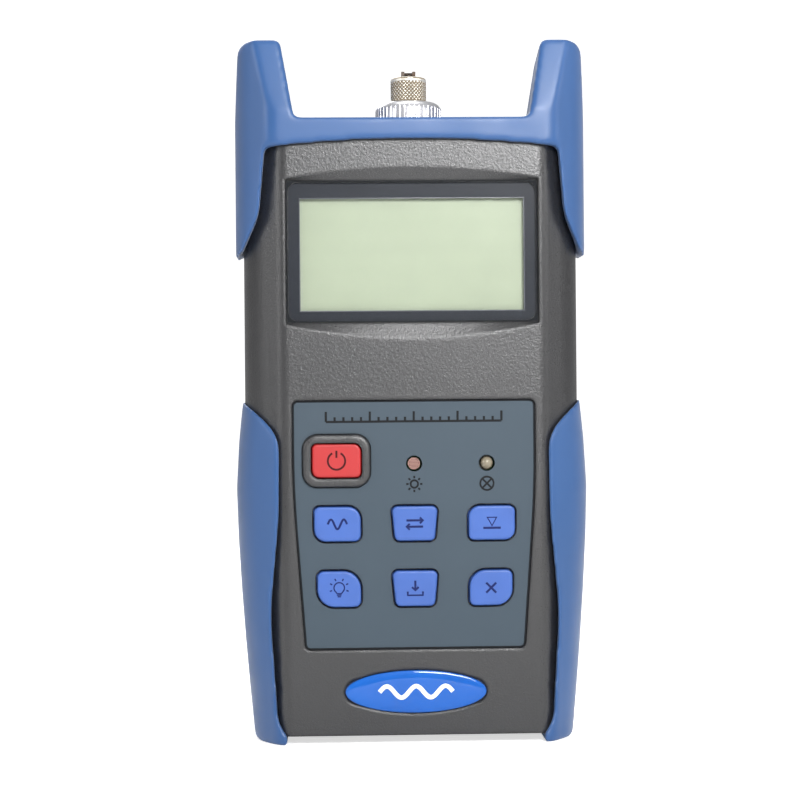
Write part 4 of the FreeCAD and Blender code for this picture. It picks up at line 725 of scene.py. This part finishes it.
def strokes(lines: Sequence[Sequence[Point]], width: float, level: float, centre: Point,
            closed: Sequence[int] = ()) -> Mesh:
    """Lines of ink on a face that looks to -Y: round pens along polylines, pressed flat.

    Args:
        lines: polylines, across and up from the centre.
        width: the pen's width.
        level: the face's level.
        centre: the symbol's centre, across and up.
        closed: the numbers of the lines that close on themselves.

    Returns:
        The flat mesh, as thick as a print, in place.
    """
    curve = bpy.data.curves.new("strokes", "CURVE")
    curve.dimensions = "3D"
    curve.bevel_depth = width * MM / 2
    curve.bevel_resolution = 2
    curve.use_fill_caps = True
    for number, line in enumerate(lines):
        spline = curve.splines.new("POLY")
        spline.points.add(len(line) - 1)
        for spot, (across, up) in zip(spline.points, line):
            spot.co = (across * MM, up * MM, 0.0, 1.0)
        spline.use_cyclic_u = number in closed
    mesh = applied(bpy.data.objects.new("strokes", curve))
    bpy.data.curves.remove(curve)
    flat = Matrix.Diagonal((1.0, 1.0, INK_MM / width, 1.0))
    mesh.transform(facing(level, centre) @ flat)
    return mesh


def arc(radius: float, start: float, end: float, steps: int = 20,
        centre: Point = (0.0, 0.0)) -> list[Point]:
    """Points along an arc, for strokes.

    Args:
        radius: the arc's radius.
        start: where it starts, in degrees.
        end: where it ends, in degrees.
        steps: how many parts it has.
        centre: its centre.

    Returns:
        The points, steps + 1 of them.
    """
    turns = [math.radians(start + (end - start) * i / steps) for i in range(steps + 1)]
    return [(centre[0] + radius * math.cos(t), centre[1] + radius * math.sin(t)) for t in turns]


def rays(inner: float, outer: float, turns: Sequence[float],
         centre: Point = (0.0, 0.0)) -> list[list[Point]]:
    """Short lines that point away from a centre, for strokes.

    Args:
        inner: where each starts, from the centre.
        outer: where each ends.
        turns: where each points, in degrees.
        centre: the centre.

    Returns:
        One line of two points for each turn.
    """
    return [[(centre[0] + reach * math.cos(t), centre[1] + reach * math.sin(t))
             for reach in (inner, outer)] for t in map(math.radians, turns)]


def wave(length: float, height: float, periods: float, steps: int = 36) -> list[Point]:
    """Points along a sine wave about the origin, for strokes.

    Args:
        length: its length.
        height: its height above and below the middle.
        periods: how many periods it has.
        steps: how many parts it has.

    Returns:
        The points.
    """
    shares = [i / steps for i in range(steps + 1)]
    return [((s - 0.5) * length, height * math.sin(math.tau * periods * s)) for s in shares]


def outline(name: str) -> list[Point]:
    """The outer line of a solid's flat front face, for strokes.

    Args:
        name: the solid's name.

    Returns:
        The line's points in order, across and up.
    """
    shape = bmesh.new()
    shape.from_mesh(bpy.data.objects[name].data)
    bmesh.ops.remove_doubles(shape, verts=shape.verts, dist=NEAR)
    level = -Span.of(name).front * MM + NEAR
    rim = [e for e in shape.edges if all(v.co.y < level for v in e.verts)
           and sum(f.calc_center_median().y < level for f in e.link_faces) == 1]
    here = min((v for e in rim for v in e.verts), key=lambda v: v.co.x)
    line, left = [here], set(rim)
    while True:
        step = next((e for e in here.link_edges if e in left), None)
        if step is None:
            break
        left.discard(step)
        here = step.other_vert(here)
        line.append(here)
    points = [(v.co.x / MM, v.co.z / MM) for v in line[:-1]]
    shape.free()
    return points


# ---------------- carried-over solids

@dataclass
class CarriedSolids:
    """The solids that keep their own shape and get their slot's finish."""

    frame: dict

    def dress(self) -> None:
        """Gives every solid the finish of its slot."""
        for part in self.frame["record"]["subparts"]:
            solid = self.frame["nodes"][part["node"]]
            finish = Slot[part["material_slot"].upper()].value.material()
            for holder in solid.material_slots:
                holder.material = finish
            if not solid.material_slots:
                solid.data.materials.append(finish)
            LOG.info("solid %s: %s", part["node"], finish.name)


@dataclass
class SoftSkins:
    """The overmoulded pieces with the softly rounded edges that elastomer has."""

    frame: dict
    names: tuple = ("top_bumper", "left_grip", "right_grip")
    voxel: float = 0.5
    rounds: int = 22
    softness: float = 0.5

    def build(self) -> None:
        """Makes the rounded skin of each soft piece."""
        for name in self.names:
            self.skin(name)

    def skin(self, name: str) -> None:
        """Rounds a copy of one solid by rebuilding it in small steps and smoothing it.

        Args:
            name: the solid's name.
        """
        shape = bmesh.new()
        shape.from_mesh(self.frame["nodes"][name].data)
        copy = bpy.data.objects.new(f"{name}_copy", to_mesh(shape, name))
        bpy.context.scene.collection.objects.link(copy)
        remesh = copy.modifiers.new("remesh", "REMESH")
        remesh.mode = "VOXEL"
        remesh.voxel_size = self.voxel * MM
        soften = copy.modifiers.new("soften", "SMOOTH")
        soften.factor = self.softness
        soften.iterations = self.rounds
        finished(f"{name}_skin", applied(copy), Slot.BUMPER_BLUE, replaced=(name,))


# ---------------- panel print and keys

@dataclass
class Legend:
    """One printed symbol on a face that looks to -Y."""

    name: str
    lines: list
    pen: float
    level: float
    centre: Point
    body: str
    slot: Slot
    ink: Finish
    closed: tuple = ()

    def build(self) -> None:
        """Prints the symbol."""
        mesh = strokes(self.lines, self.pen, self.level, self.centre, self.closed)
        finished(self.name, mesh, self.slot, self.body, self.ink)


@dataclass
class Keypad:
    """The symbols on the keys and on the panel round them."""

    power_pen: float = 0.48
    pen: float = 0.52
    thin_pen: float = 0.32
    scale_pen: float = 0.55
    small_pen: float = 0.46
    groove: float = 0.5
    tick_step: float = 2.1
    ticks: int = 20
    scale_drop: float = 3.8  # from the film's upper edge to the scale
    symbol_drop: float = 4.9  # from an opening's middle to its symbol

    def build(self) -> None:
        """Prints every symbol and draws the shadow line round the film."""
        for legend in self.key_legends() + self.panel_legends():
            legend.build()

    def key_legends(self) -> list[Legend]:
        """The symbols on the keys: each rides its own key.

        Returns:
            One legend for each key.
        """
        power = [arc(2.07, 118, 422, 30), [(0.0, 0.75), (0.0, 2.45)]]
        head = [(-0.8, 0.7), (0.0, 0.0), (-0.8, -0.7)]
        swap = [[(-2.0, 0.75), (2.0, 0.75)], [(x + 2.0, y + 0.75) for x, y in head],
                [(2.0, -0.75), (-2.0, -0.75)], [(-x - 2.0, y - 0.75) for x, y in head]]
        mark = [[(-2.1, -1.2), (2.1, -1.2)], [(-1.1, 1.3), (0.0, -0.7), (1.1, 1.3)]]
        bulb = [arc(1.25, -50, 230, 22, (0, 0.35)), [(-0.55, -1.35), (0.55, -1.35)],
                [(-0.4, -1.75), (0.4, -1.75)],
                [(-0.8, -0.6), (-0.55, -1.0), (0.55, -1.0), (0.8, -0.6)]]
        bulb += rays(1.8, 2.4, (-20, 25, 65, 115, 155, 200), (0, 0.35))
        tray = [[(0.0, 1.9), (0.0, -0.4)], [(-0.8, 0.35), (0.0, -0.45), (0.8, 0.35)],
                [(-1.8, -0.7), (-1.8, -1.6), (1.8, -1.6), (1.8, -0.7)]]
        cross = [[(-1.2, -1.2), (1.2, 1.2)], [(-1.2, 1.2), (1.2, -1.2)]]
        plan = [
            ("power", power, self.power_pen, Slot.KEY_RED, ()),
            ("wave", [wave(4.6, 1.15, 1.5)], self.pen, Slot.KEY_BLUE, ()),
            ("units", swap, self.pen, Slot.KEY_BLUE, ()),
            ("reference", mark, self.pen, Slot.KEY_BLUE, (1,)),
            ("light", bulb, self.thin_pen, Slot.KEY_BLUE, ()),
            ("save", tray, self.pen, Slot.KEY_BLUE, ()),
            ("delete", cross, self.pen, Slot.KEY_BLUE, ()),
        ]
        ink = {Slot.KEY_RED: INK_MAROON, Slot.KEY_BLUE: INK_NAVY}
        legends = []
        for name, lines, pen, slot, closed in plan:
            key = Span.of(f"key_{name}")
            legends.append(Legend(f"legend_{name}", lines, pen, key.front, key.middle,
                                  f"key_{name}", slot, ink[slot], closed))
        return legends

    def panel_legends(self) -> list[Legend]:
        """The scale along the panel's top, two small symbols and the line round the film.

        Returns:
            The legends on the film.
        """
        foot, tall, short = -1.1, 1.3, 0.0
        start = -self.tick_step * self.ticks / 2
        scale = [[(start, foot), (-start, foot)]]
        for number in range(self.ticks + 1):
            across = start + self.tick_step * number
            scale.append([(across, foot), (across, tall if number % 5 == 0 else short)])
        sun = [arc(0.9, 0, 360, 18)] + rays(1.35, 1.95, range(0, 360, 45))
        lamp = [arc(1.6, 0, 360, 22), [(-1.1, -1.1), (1.1, 1.1)], [(-1.1, 1.1), (1.1, -1.1)]]
        film = Span.of("panel_overlay")
        sensor, lens = Span.of("light_sensor").middle, Span.of("indicator_lamp").middle
        plan = [("print_scale", scale, self.scale_pen, (0.0, film.high[2] - self.scale_drop)),
                ("print_sun", sun, self.small_pen, (sensor[0], sensor[1] - self.symbol_drop)),
                ("print_lamp", lamp, self.small_pen, (lens[0], lens[1] - self.symbol_drop))]
        legends = [Legend(name, lines, pen, film.front, centre, "case", Slot.PANEL_FILM, INK_BLACK)
                   for name, lines, pen, centre in plan]
        legends.append(Legend("film_shadow_line", [outline("panel_overlay")], self.groove,
                              film.front, (0.0, 0.0), "case", Slot.PANEL_FILM, GROOVE_SHADE, (0,)))
        return legends


# ---------------- display

@dataclass
class Display:
    """The lens with its polished edge, the print on its back, a painted highlight round the window
    and painted shade round the lens.
    """

    lens: Span
    window: Point = (53.6, 26.8)
    drop: float = 0.7
    corner: float = 2.5
    bevel: float = 0.25
    margin: float = 0.25
    print_rise: float = 0.03
    # the painted highlight round the window: its level, its pen and its gap from the window
    cut_rise: float = 0.07
    cut_pen: float = 0.3
    cut_gap: float = 0.12
    # how far the painted shade ring round the lens reaches in over it and out from it
    joint_in: float = 0.15
    joint_out: float = 0.1
    film: float = 0.02

    def build(self) -> None:
        """Makes the lens, its border, the painted highlight round the window and the painted shade
        round the lens.
        """
        self.make_lens()
        self.make_border()
        self.make_cut()
        self.make_joint()

    @property
    def centre(self) -> Point:
        """The middle of the lens, across and up."""
        return (0.0, self.lens.middle[1])

    def make_lens(self) -> None:
        """The clear plate with a small polished bevel round its face."""
        shape = bmesh.new()
        plate(shape, self.lens.size, self.centre, self.corner, self.lens.back)
        grown = bmesh.ops.extrude_face_region(shape, geom=shape.faces[:])
        thick = self.lens.front - self.lens.back
        bmesh.ops.translate(shape, verts=new_verts(grown), vec=(0, -thick * MM, 0))
        face = -(self.lens.front - 0.01) * MM
        rim = [e for e in shape.edges if all(v.co.y < face for v in e.verts)]
        bmesh.ops.bevel(shape, geom=rim, offset=self.bevel * MM, segments=3, profile=0.5,
                        affect="EDGES", material=-1)
        finished("lens_plate", to_mesh(shape, "lens_plate"), Slot.LENS_CLEAR,
                 replaced=("display_lens",), smooth=False)

    def make_border(self) -> None:
        """The black border, a thin print with a rectangular opening."""
        shape = bmesh.new()
        outer = (self.lens.size[0] - 2 * self.margin, self.lens.size[1] - 2 * self.margin)
        plate(shape, outer, self.centre, self.corner - self.margin,
              self.lens.back + self.print_rise)
        across, half = self.window[0] / 2 * MM, self.window[1] / 2 * MM
        up = (self.centre[1] - self.drop) * MM
        cuts = [((across, 0, 0), (1, 0, 0)), ((-across, 0, 0), (1, 0, 0)),
                ((0, 0, up + half), (0, 0, 1)), ((0, 0, up - half), (0, 0, 1))]
        for spot, way in cuts:
            bmesh.ops.bisect_plane(shape, geom=shape.verts[:] + shape.edges[:] + shape.faces[:],
                                   plane_co=spot, plane_no=way, dist=MERGE)
        hole = [f for f in shape.faces if abs(f.calc_center_median().x) < across
                and abs(f.calc_center_median().z - up) < half]
        bmesh.ops.delete(shape, geom=hole, context="FACES")
        bmesh.ops.solidify(shape, geom=shape.faces[:], thickness=self.film * MM)
        finished("lens_border", to_mesh(shape, "lens_border"), Slot.LENS_CLEAR,
                 finish=BORDER_BLACK, smooth=False)

    def make_cut(self) -> None:
        """A painted highlight: a pale line where the border's print ends at the window, standing
        in for the light that the print's edge catches.
        """
        across, half = (side / 2 + self.cut_gap for side in self.window)
        line = [(-across, -half), (across, -half), (across, half), (-across, half)]
        centre = (0.0, self.centre[1] - self.drop)
        mesh = strokes([line], self.cut_pen, self.lens.back + self.cut_rise, centre, (0,))
        # the line is a painted highlight along the window's edge
        finished("window_cut", mesh, Slot.LENS_CLEAR, finish=WINDOW_HIGHLIGHT)

    def make_joint(self) -> None:
        """Painted shade: a dark ring from the lens's round corners out to the recess, where the
        recess's corners lie in shade.
        """
        shape = bmesh.new()
        edges = ((-self.joint_in, self.corner - self.joint_in), (self.joint_out, self.joint_out))
        for grow, corner in edges:
            size = (self.lens.size[0] + 2 * grow, self.lens.size[1] + 2 * grow)
            plate(shape, size, self.centre, corner, self.lens.front + self.film)
        bmesh.ops.delete(shape, geom=shape.faces[:], context="FACES_ONLY")
        ring = bmesh.ops.bridge_loops(shape, edges=shape.edges[:])
        bmesh.ops.solidify(shape, geom=ring["faces"], thickness=self.film * MM)
        # the ring is painted shade in the recess's corners round the lens
        finished("lens_joint", to_mesh(shape, "lens_joint"), Slot.LENS_CLEAR,
                 finish=GROOVE_SHADE, smooth=False)


# ---------------- badge

@dataclass
class Badge:
    """The oval resin dome with a plain white wave on it and a painted shade line round its foot.
    """

    plate: Span
    rim_rise: float = 0.9
    steps: int = 7
    inset: float = 0.45  # how far the dome's steps reach in, as a share of its half width
    segments: int = 96
    wave_pen: float = 1.1
    seat_pen: float = 0.5
    seat_rise: float = 0.18

    def build(self) -> None:
        """Makes the dome, its print and the painted shade line round it."""
        finished("badge_dome", self.dome(), Slot.BADGE_BLUE, replaced=("badge",))
        centre = self.plate.middle
        mark = strokes([wave(17.5, 1.35, 2.5, 60)], self.wave_pen, self.plate.front, centre)
        finished("badge_wave", mark, Slot.BADGE_BLUE, finish=INK_WHITE)
        wide, tall = (side / 2 for side in self.plate.size)
        ring = arc(1.0, 0, 360, self.segments)[:-1]
        oval = [(wide * across, tall * up) for across, up in ring]
        # the oval line is painted shade where the dome meets its seat
        foot_shade = strokes([oval], self.seat_pen, self.plate.back + self.seat_rise, centre, (0,))
        finished("badge_seat_line", foot_shade, Slot.BADGE_BLUE, finish=BADGE_FOOT_SHADE)

    def dome(self) -> Mesh:
        """Raises a round disc in steps like a drop of resin and then stretches it to the oval.

        Returns:
            The dome's mesh.
        """
        shape = bmesh.new()
        bmesh.ops.create_circle(shape, cap_ends=True, segments=self.segments, radius=1.0)
        grown = bmesh.ops.extrude_face_region(shape, geom=shape.faces[:])
        bmesh.ops.translate(shape, verts=new_verts(grown), vec=(0, 0, self.rim_rise))
        face = next(f for f in shape.faces if f.calc_center_median().z > self.rim_rise - 0.01)
        bulge = self.plate.front - self.plate.back - self.rim_rise
        turns = [math.radians(90 * i / self.steps) for i in range(self.steps + 1)]
        for before, now in zip(turns, turns[1:]):
            bmesh.ops.inset_region(
                shape, faces=[face], thickness=self.inset * (math.cos(before) - math.cos(now)),
                depth=bulge * (math.sin(now) - math.sin(before)), use_even_offset=True)
        wide, tall = (side / 2 * MM for side in self.plate.size)
        stretch = Matrix.Diagonal((wide, tall, MM, 1))
        bmesh.ops.transform(shape, verts=shape.verts,
                            matrix=facing(self.plate.back, self.plate.middle) @ stretch)
        return to_mesh(shape, "badge_dome")


# ---------------- port cap

@dataclass
class PortCap:
    """The knurled dust cap on the port's nose."""

    cap: Span
    inner: float = 4.0
    hole: float = 0.8
    crown: float = 1.1
    foot: float = 0.25
    shoulder: float = 0.8
    rows: int = 36
    teeth: int = 30  # a real knurl of about 0.5 mm is too fine to show, so it is drawn at 0.9 mm
    per_tooth: int = 8
    depth: float = 0.26
    plain_top: float = 1.1
    dirt_from: float = 0.36  # the shares of the knurl's depth between which the faces are coloured darker
    dirt_to: float = 1.1

    @property
    def radius(self) -> float:
        """The cap's outer radius."""
        return self.cap.size[0] / 2

    def build(self) -> None:
        """Spins the cap's section, presses the knurl into its side and colours the grooves darker.
        """
        shape = bmesh.new()
        spots = [shape.verts.new((reach * MM, 0, up * MM)) for reach, up in self.section()]
        edges = [shape.edges.new(pair) for pair in zip(spots, spots[1:] + spots[:1])]
        bmesh.ops.spin(shape, geom=spots + edges, cent=(0, 0, 0), axis=(0, 0, 1), angle=math.tau,
                       steps=self.teeth * self.per_tooth, use_merge=True, use_duplicate=False)
        self.press_knurl(shape)
        mesh = to_mesh(shape, "cap_knurled")
        finished("cap_knurled", mesh, Slot.CAP_NICKEL, "dust_cap", replaced=("dust_cap",),
                 smooth=False)
        # the faces deep in the knurl's grooves get the darker colour
        mesh.materials.append(KNURL_GROOVE_DARK.material())
        deep, shallow = (self.radius - s * self.depth for s in (self.dirt_to, self.dirt_from))
        for face in mesh.polygons:
            face.material_index = int(deep < face.center.xy.length / MM < shallow)

    def section(self) -> list[Point]:
        """Half of the cap's section.

        Returns:
            The closed line's points, out from the axis and up.
        """
        low, high = self.cap.low[2], self.cap.high[2]
        start, end = low + self.foot + 0.05, high - self.shoulder - 0.2
        side = [(self.radius, start + (end - start) * i / self.rows)
                for i in range(self.rows + 1)]
        shoulder = [(self.radius - self.shoulder * (1 - math.cos(turn)),
                     high - self.shoulder * (1 - math.sin(turn)))
                    for turn in map(math.radians, (20, 45, 70, 90))]
        inside = [(self.hole, high - self.crown), (self.inner, high - self.crown),
                  (self.inner, low), (self.radius - self.foot, low)]
        return inside + side + shoulder + [(self.hole, high)]

    def press_knurl(self, shape: Shape) -> None:
        """Presses two crossing sets of slanted grooves into the cap's side.

        Args:
            shape: the spun cap.
        """
        low, high = self.cap.low[2], self.cap.high[2]
        pitch = math.tau * self.radius / self.teeth
        for vert in shape.verts:
            reach, up = vert.co.xy.length / MM, vert.co.z / MM
            if reach < self.radius - 0.02 or up > high - self.plain_top:
                continue
            turn = math.atan2(vert.co.y, vert.co.x) * self.teeth / math.tau
            climb = (up - low) / pitch
            ridge = min(abs((turn + way * climb) % 1 - 0.5) for way in (1, -1)) * 2
            vert.co.xy *= 1 - self.depth * (1 - math.sqrt(ridge)) / self.radius


# ---------------- light sensor

@dataclass
class SensorTrack:
    """The zigzag track on the face of the light sensor."""

    disc: Span
    margin: float = 0.3
    pen: float = 0.14
    rows: tuple = (0.75, 0.45, 0.15, -0.15, -0.45, -0.75)

    def build(self) -> None:
        """Draws the track."""
        radius = self.disc.size[0] / 2 - self.margin
        line = []
        for number, share in enumerate(self.rows):
            up = radius * share
            reach = math.sqrt(radius ** 2 - up ** 2)
            ends = [(-reach, up), (reach, up)]
            line += ends if number % 2 == 0 else ends[::-1]
        mesh = strokes([line], self.pen, self.disc.front, self.disc.middle)
        finished("sensor_track", mesh, Slot.SENSOR_CERAMIC, finish=TRACK_RED)


# ---------------- studio

@dataclass(frozen=True)
class SoftBox:
    """A soft box that looks at the meter, in metres and watts."""

    name: str
    place: Spot
    width: float
    power: float
    aim: Spot = (0.0, 0.0, 0.1)
    tallness: float = 0.8

    def hang(self) -> None:
        """Adds the box, which lights the meter but isn't seen itself."""
        light = bpy.data.lights.new(self.name, "AREA")
        light.shape = "RECTANGLE"
        light.size, light.size_y = self.width, self.width * self.tallness
        light.energy = self.power
        lamp = bpy.data.objects.new(self.name, light)
        lamp.location = self.place
        ray = Vector(self.aim) - Vector(self.place)
        lamp.rotation_euler = ray.to_track_quat("-Z", "Y").to_euler()
        lamp.visible_camera = False
        bpy.context.scene.collection.objects.link(lamp)


@dataclass
class Studio:
    """White sweep, soft boxes and the camera, in metres and degrees."""

    boxes: tuple = (SoftBox("box_front", (0.12, -0.45, 0.3), 0.2, 2.9),
                    SoftBox("box_left", (-0.75, -0.32, 0.3), 0.4, 1.5),
                    SoftBox("box_right", (0.8, -0.28, 0.32), 0.4, 1.2),
                    SoftBox("box_top", (0.0, 0.05, 0.7), 0.4, 0.9),
                    SoftBox("box_back", (-0.25, 0.6, 0.55), 0.35, 2.2))
    side: float = 4.0
    near: float = -3.0
    bend: float = 0.8
    wall: float = 3.0
    floor_lift: float = 0.65
    sky: Point = (0.22, 0.5)
    distance: float = 0.485
    yaw: float = 2.3
    aim: Spot = (-0.0027, 0.0, 0.0821)
    roll: float = 0.48
    focal_mm: float = 88.3

    def build(self) -> None:
        """Sets floor, light, world and camera."""
        self.sweep()
        self.world()
        for box in self.boxes:
            box.hang()
        self.camera()
        bpy.context.scene.view_settings.view_transform = "Standard"

    def sweep(self) -> None:
        """The pale floor that curves up into the backdrop."""
        shape = bmesh.new()
        start, end = (shape.verts.new((-self.side, y, 0)) for y in (self.near, self.bend))
        shape.edges.new((start, end))
        curve = bmesh.ops.spin(shape, geom=[end], cent=(-self.side, self.bend, self.bend),
                               axis=(1, 0, 0), angle=math.pi / 2, steps=16)
        wall = bmesh.ops.extrude_vert_indiv(shape, verts=new_verts(curve, "geom_last"))
        bmesh.ops.translate(shape, verts=wall["verts"], vec=(0, 0, self.wall))
        across = bmesh.ops.extrude_edge_only(shape, edges=shape.edges[:])
        bmesh.ops.translate(shape, verts=new_verts(across), vec=(2 * self.side, 0, 0))
        mesh = to_mesh(shape, "sweep")
        mesh.polygons.foreach_set("use_smooth", [True] * len(mesh.polygons))
        mesh.materials.append(self.paper())
        floor = bpy.data.objects.new("sweep", mesh)
        bpy.context.scene.collection.objects.link(floor)

    def paper(self) -> bpy.types.Material:
        """Matte white paper with a faint grain, lifted to full white where it is seen.

        Returns:
            The material.
        """
        paper = bpy.data.materials.new("sweep_paper")
        paper.use_nodes = True
        tree = paper.node_tree
        tree.nodes.remove(tree.nodes["Principled BSDF"])
        grain = node(tree, "TexNoise", {"Vector": node(tree, "TexCoord").outputs["Object"],
                                        "Scale": 600.0})
        tone = node(tree, "MapRange", {"Value": grain.outputs["Fac"], "To Min": 0.86,
                                       "To Max": 0.9})
        matte = node(tree, "BsdfDiffuse", {"Color": tone.outputs["Result"]})
        lift = node(tree, "Math", {0: seen_straight(tree), 1: self.floor_lift},
                    operation="MULTIPLY")
        glow = node(tree, "Emission", {"Color": (1, 1, 1, 1), "Strength": lift.outputs[0]})
        both = node(tree, "AddShader", {0: matte.outputs["BSDF"], 1: glow.outputs["Emission"]})
        tree.links.new(both.outputs["Shader"], tree.nodes["Material Output"].inputs["Surface"])
        return paper

    def world(self) -> None:
        """A white surround: full strength where it is seen, dimmer where it lights."""
        world = bpy.data.worlds.new("studio")
        bpy.context.scene.world = world
        world.use_nodes = True
        tree = world.node_tree
        aim = node(tree, "SeparateXYZ", {"Vector": node(tree, "TexCoord").outputs["Generated"]})
        sky = node(tree, "MapRange", {"Value": aim.outputs["Z"], "From Min": -0.2, "From Max": 0.8,
                                      "To Min": self.sky[0], "To Max": self.sky[1]})
        level = node(tree, "Math", {0: seen_straight(tree), 1: sky.outputs["Result"]},
                     operation="MAXIMUM")
        tree.links.new(level.outputs[0], tree.nodes["Background"].inputs["Strength"])
        tree.nodes["Background"].inputs["Color"].default_value = (1, 1, 1, 1)

    def camera(self) -> None:
        """The camera in front, a little to the reader's left."""
        lens = bpy.data.cameras.new("camera")
        lens.lens = self.focal_mm
        lens.sensor_width = 36.0
        lens.clip_start = 0.01
        view = bpy.data.objects.new("camera", lens)
        turn = math.radians(self.yaw)
        view.location = (-self.distance * math.sin(turn), -self.distance * math.cos(turn),
                         self.aim[2])
        look = (Vector(self.aim) - view.location).to_track_quat("-Z", "Y").to_matrix()
        tilt = Matrix.Rotation(-math.radians(self.roll), 3, "Z")
        view.rotation_euler = (look @ tilt).to_euler()
        bpy.context.scene.collection.objects.link(view)
        bpy.context.scene.camera = view


def main() -> None:
    """Builds the looks of the whole meter."""
    logging.basicConfig(level=logging.INFO, format="%(name)s %(message)s")
    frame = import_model()
    CarriedSolids(frame).dress()
    Studio().build()
    SoftSkins(frame).build()
    Display(Span.of("display_lens")).build()
    Keypad().build()
    Badge(Span.of("badge")).build()
    PortCap(Span.of("dust_cap")).build()
    SensorTrack(Span.of("light_sensor")).build()


if __name__ == "__main__":
    main()
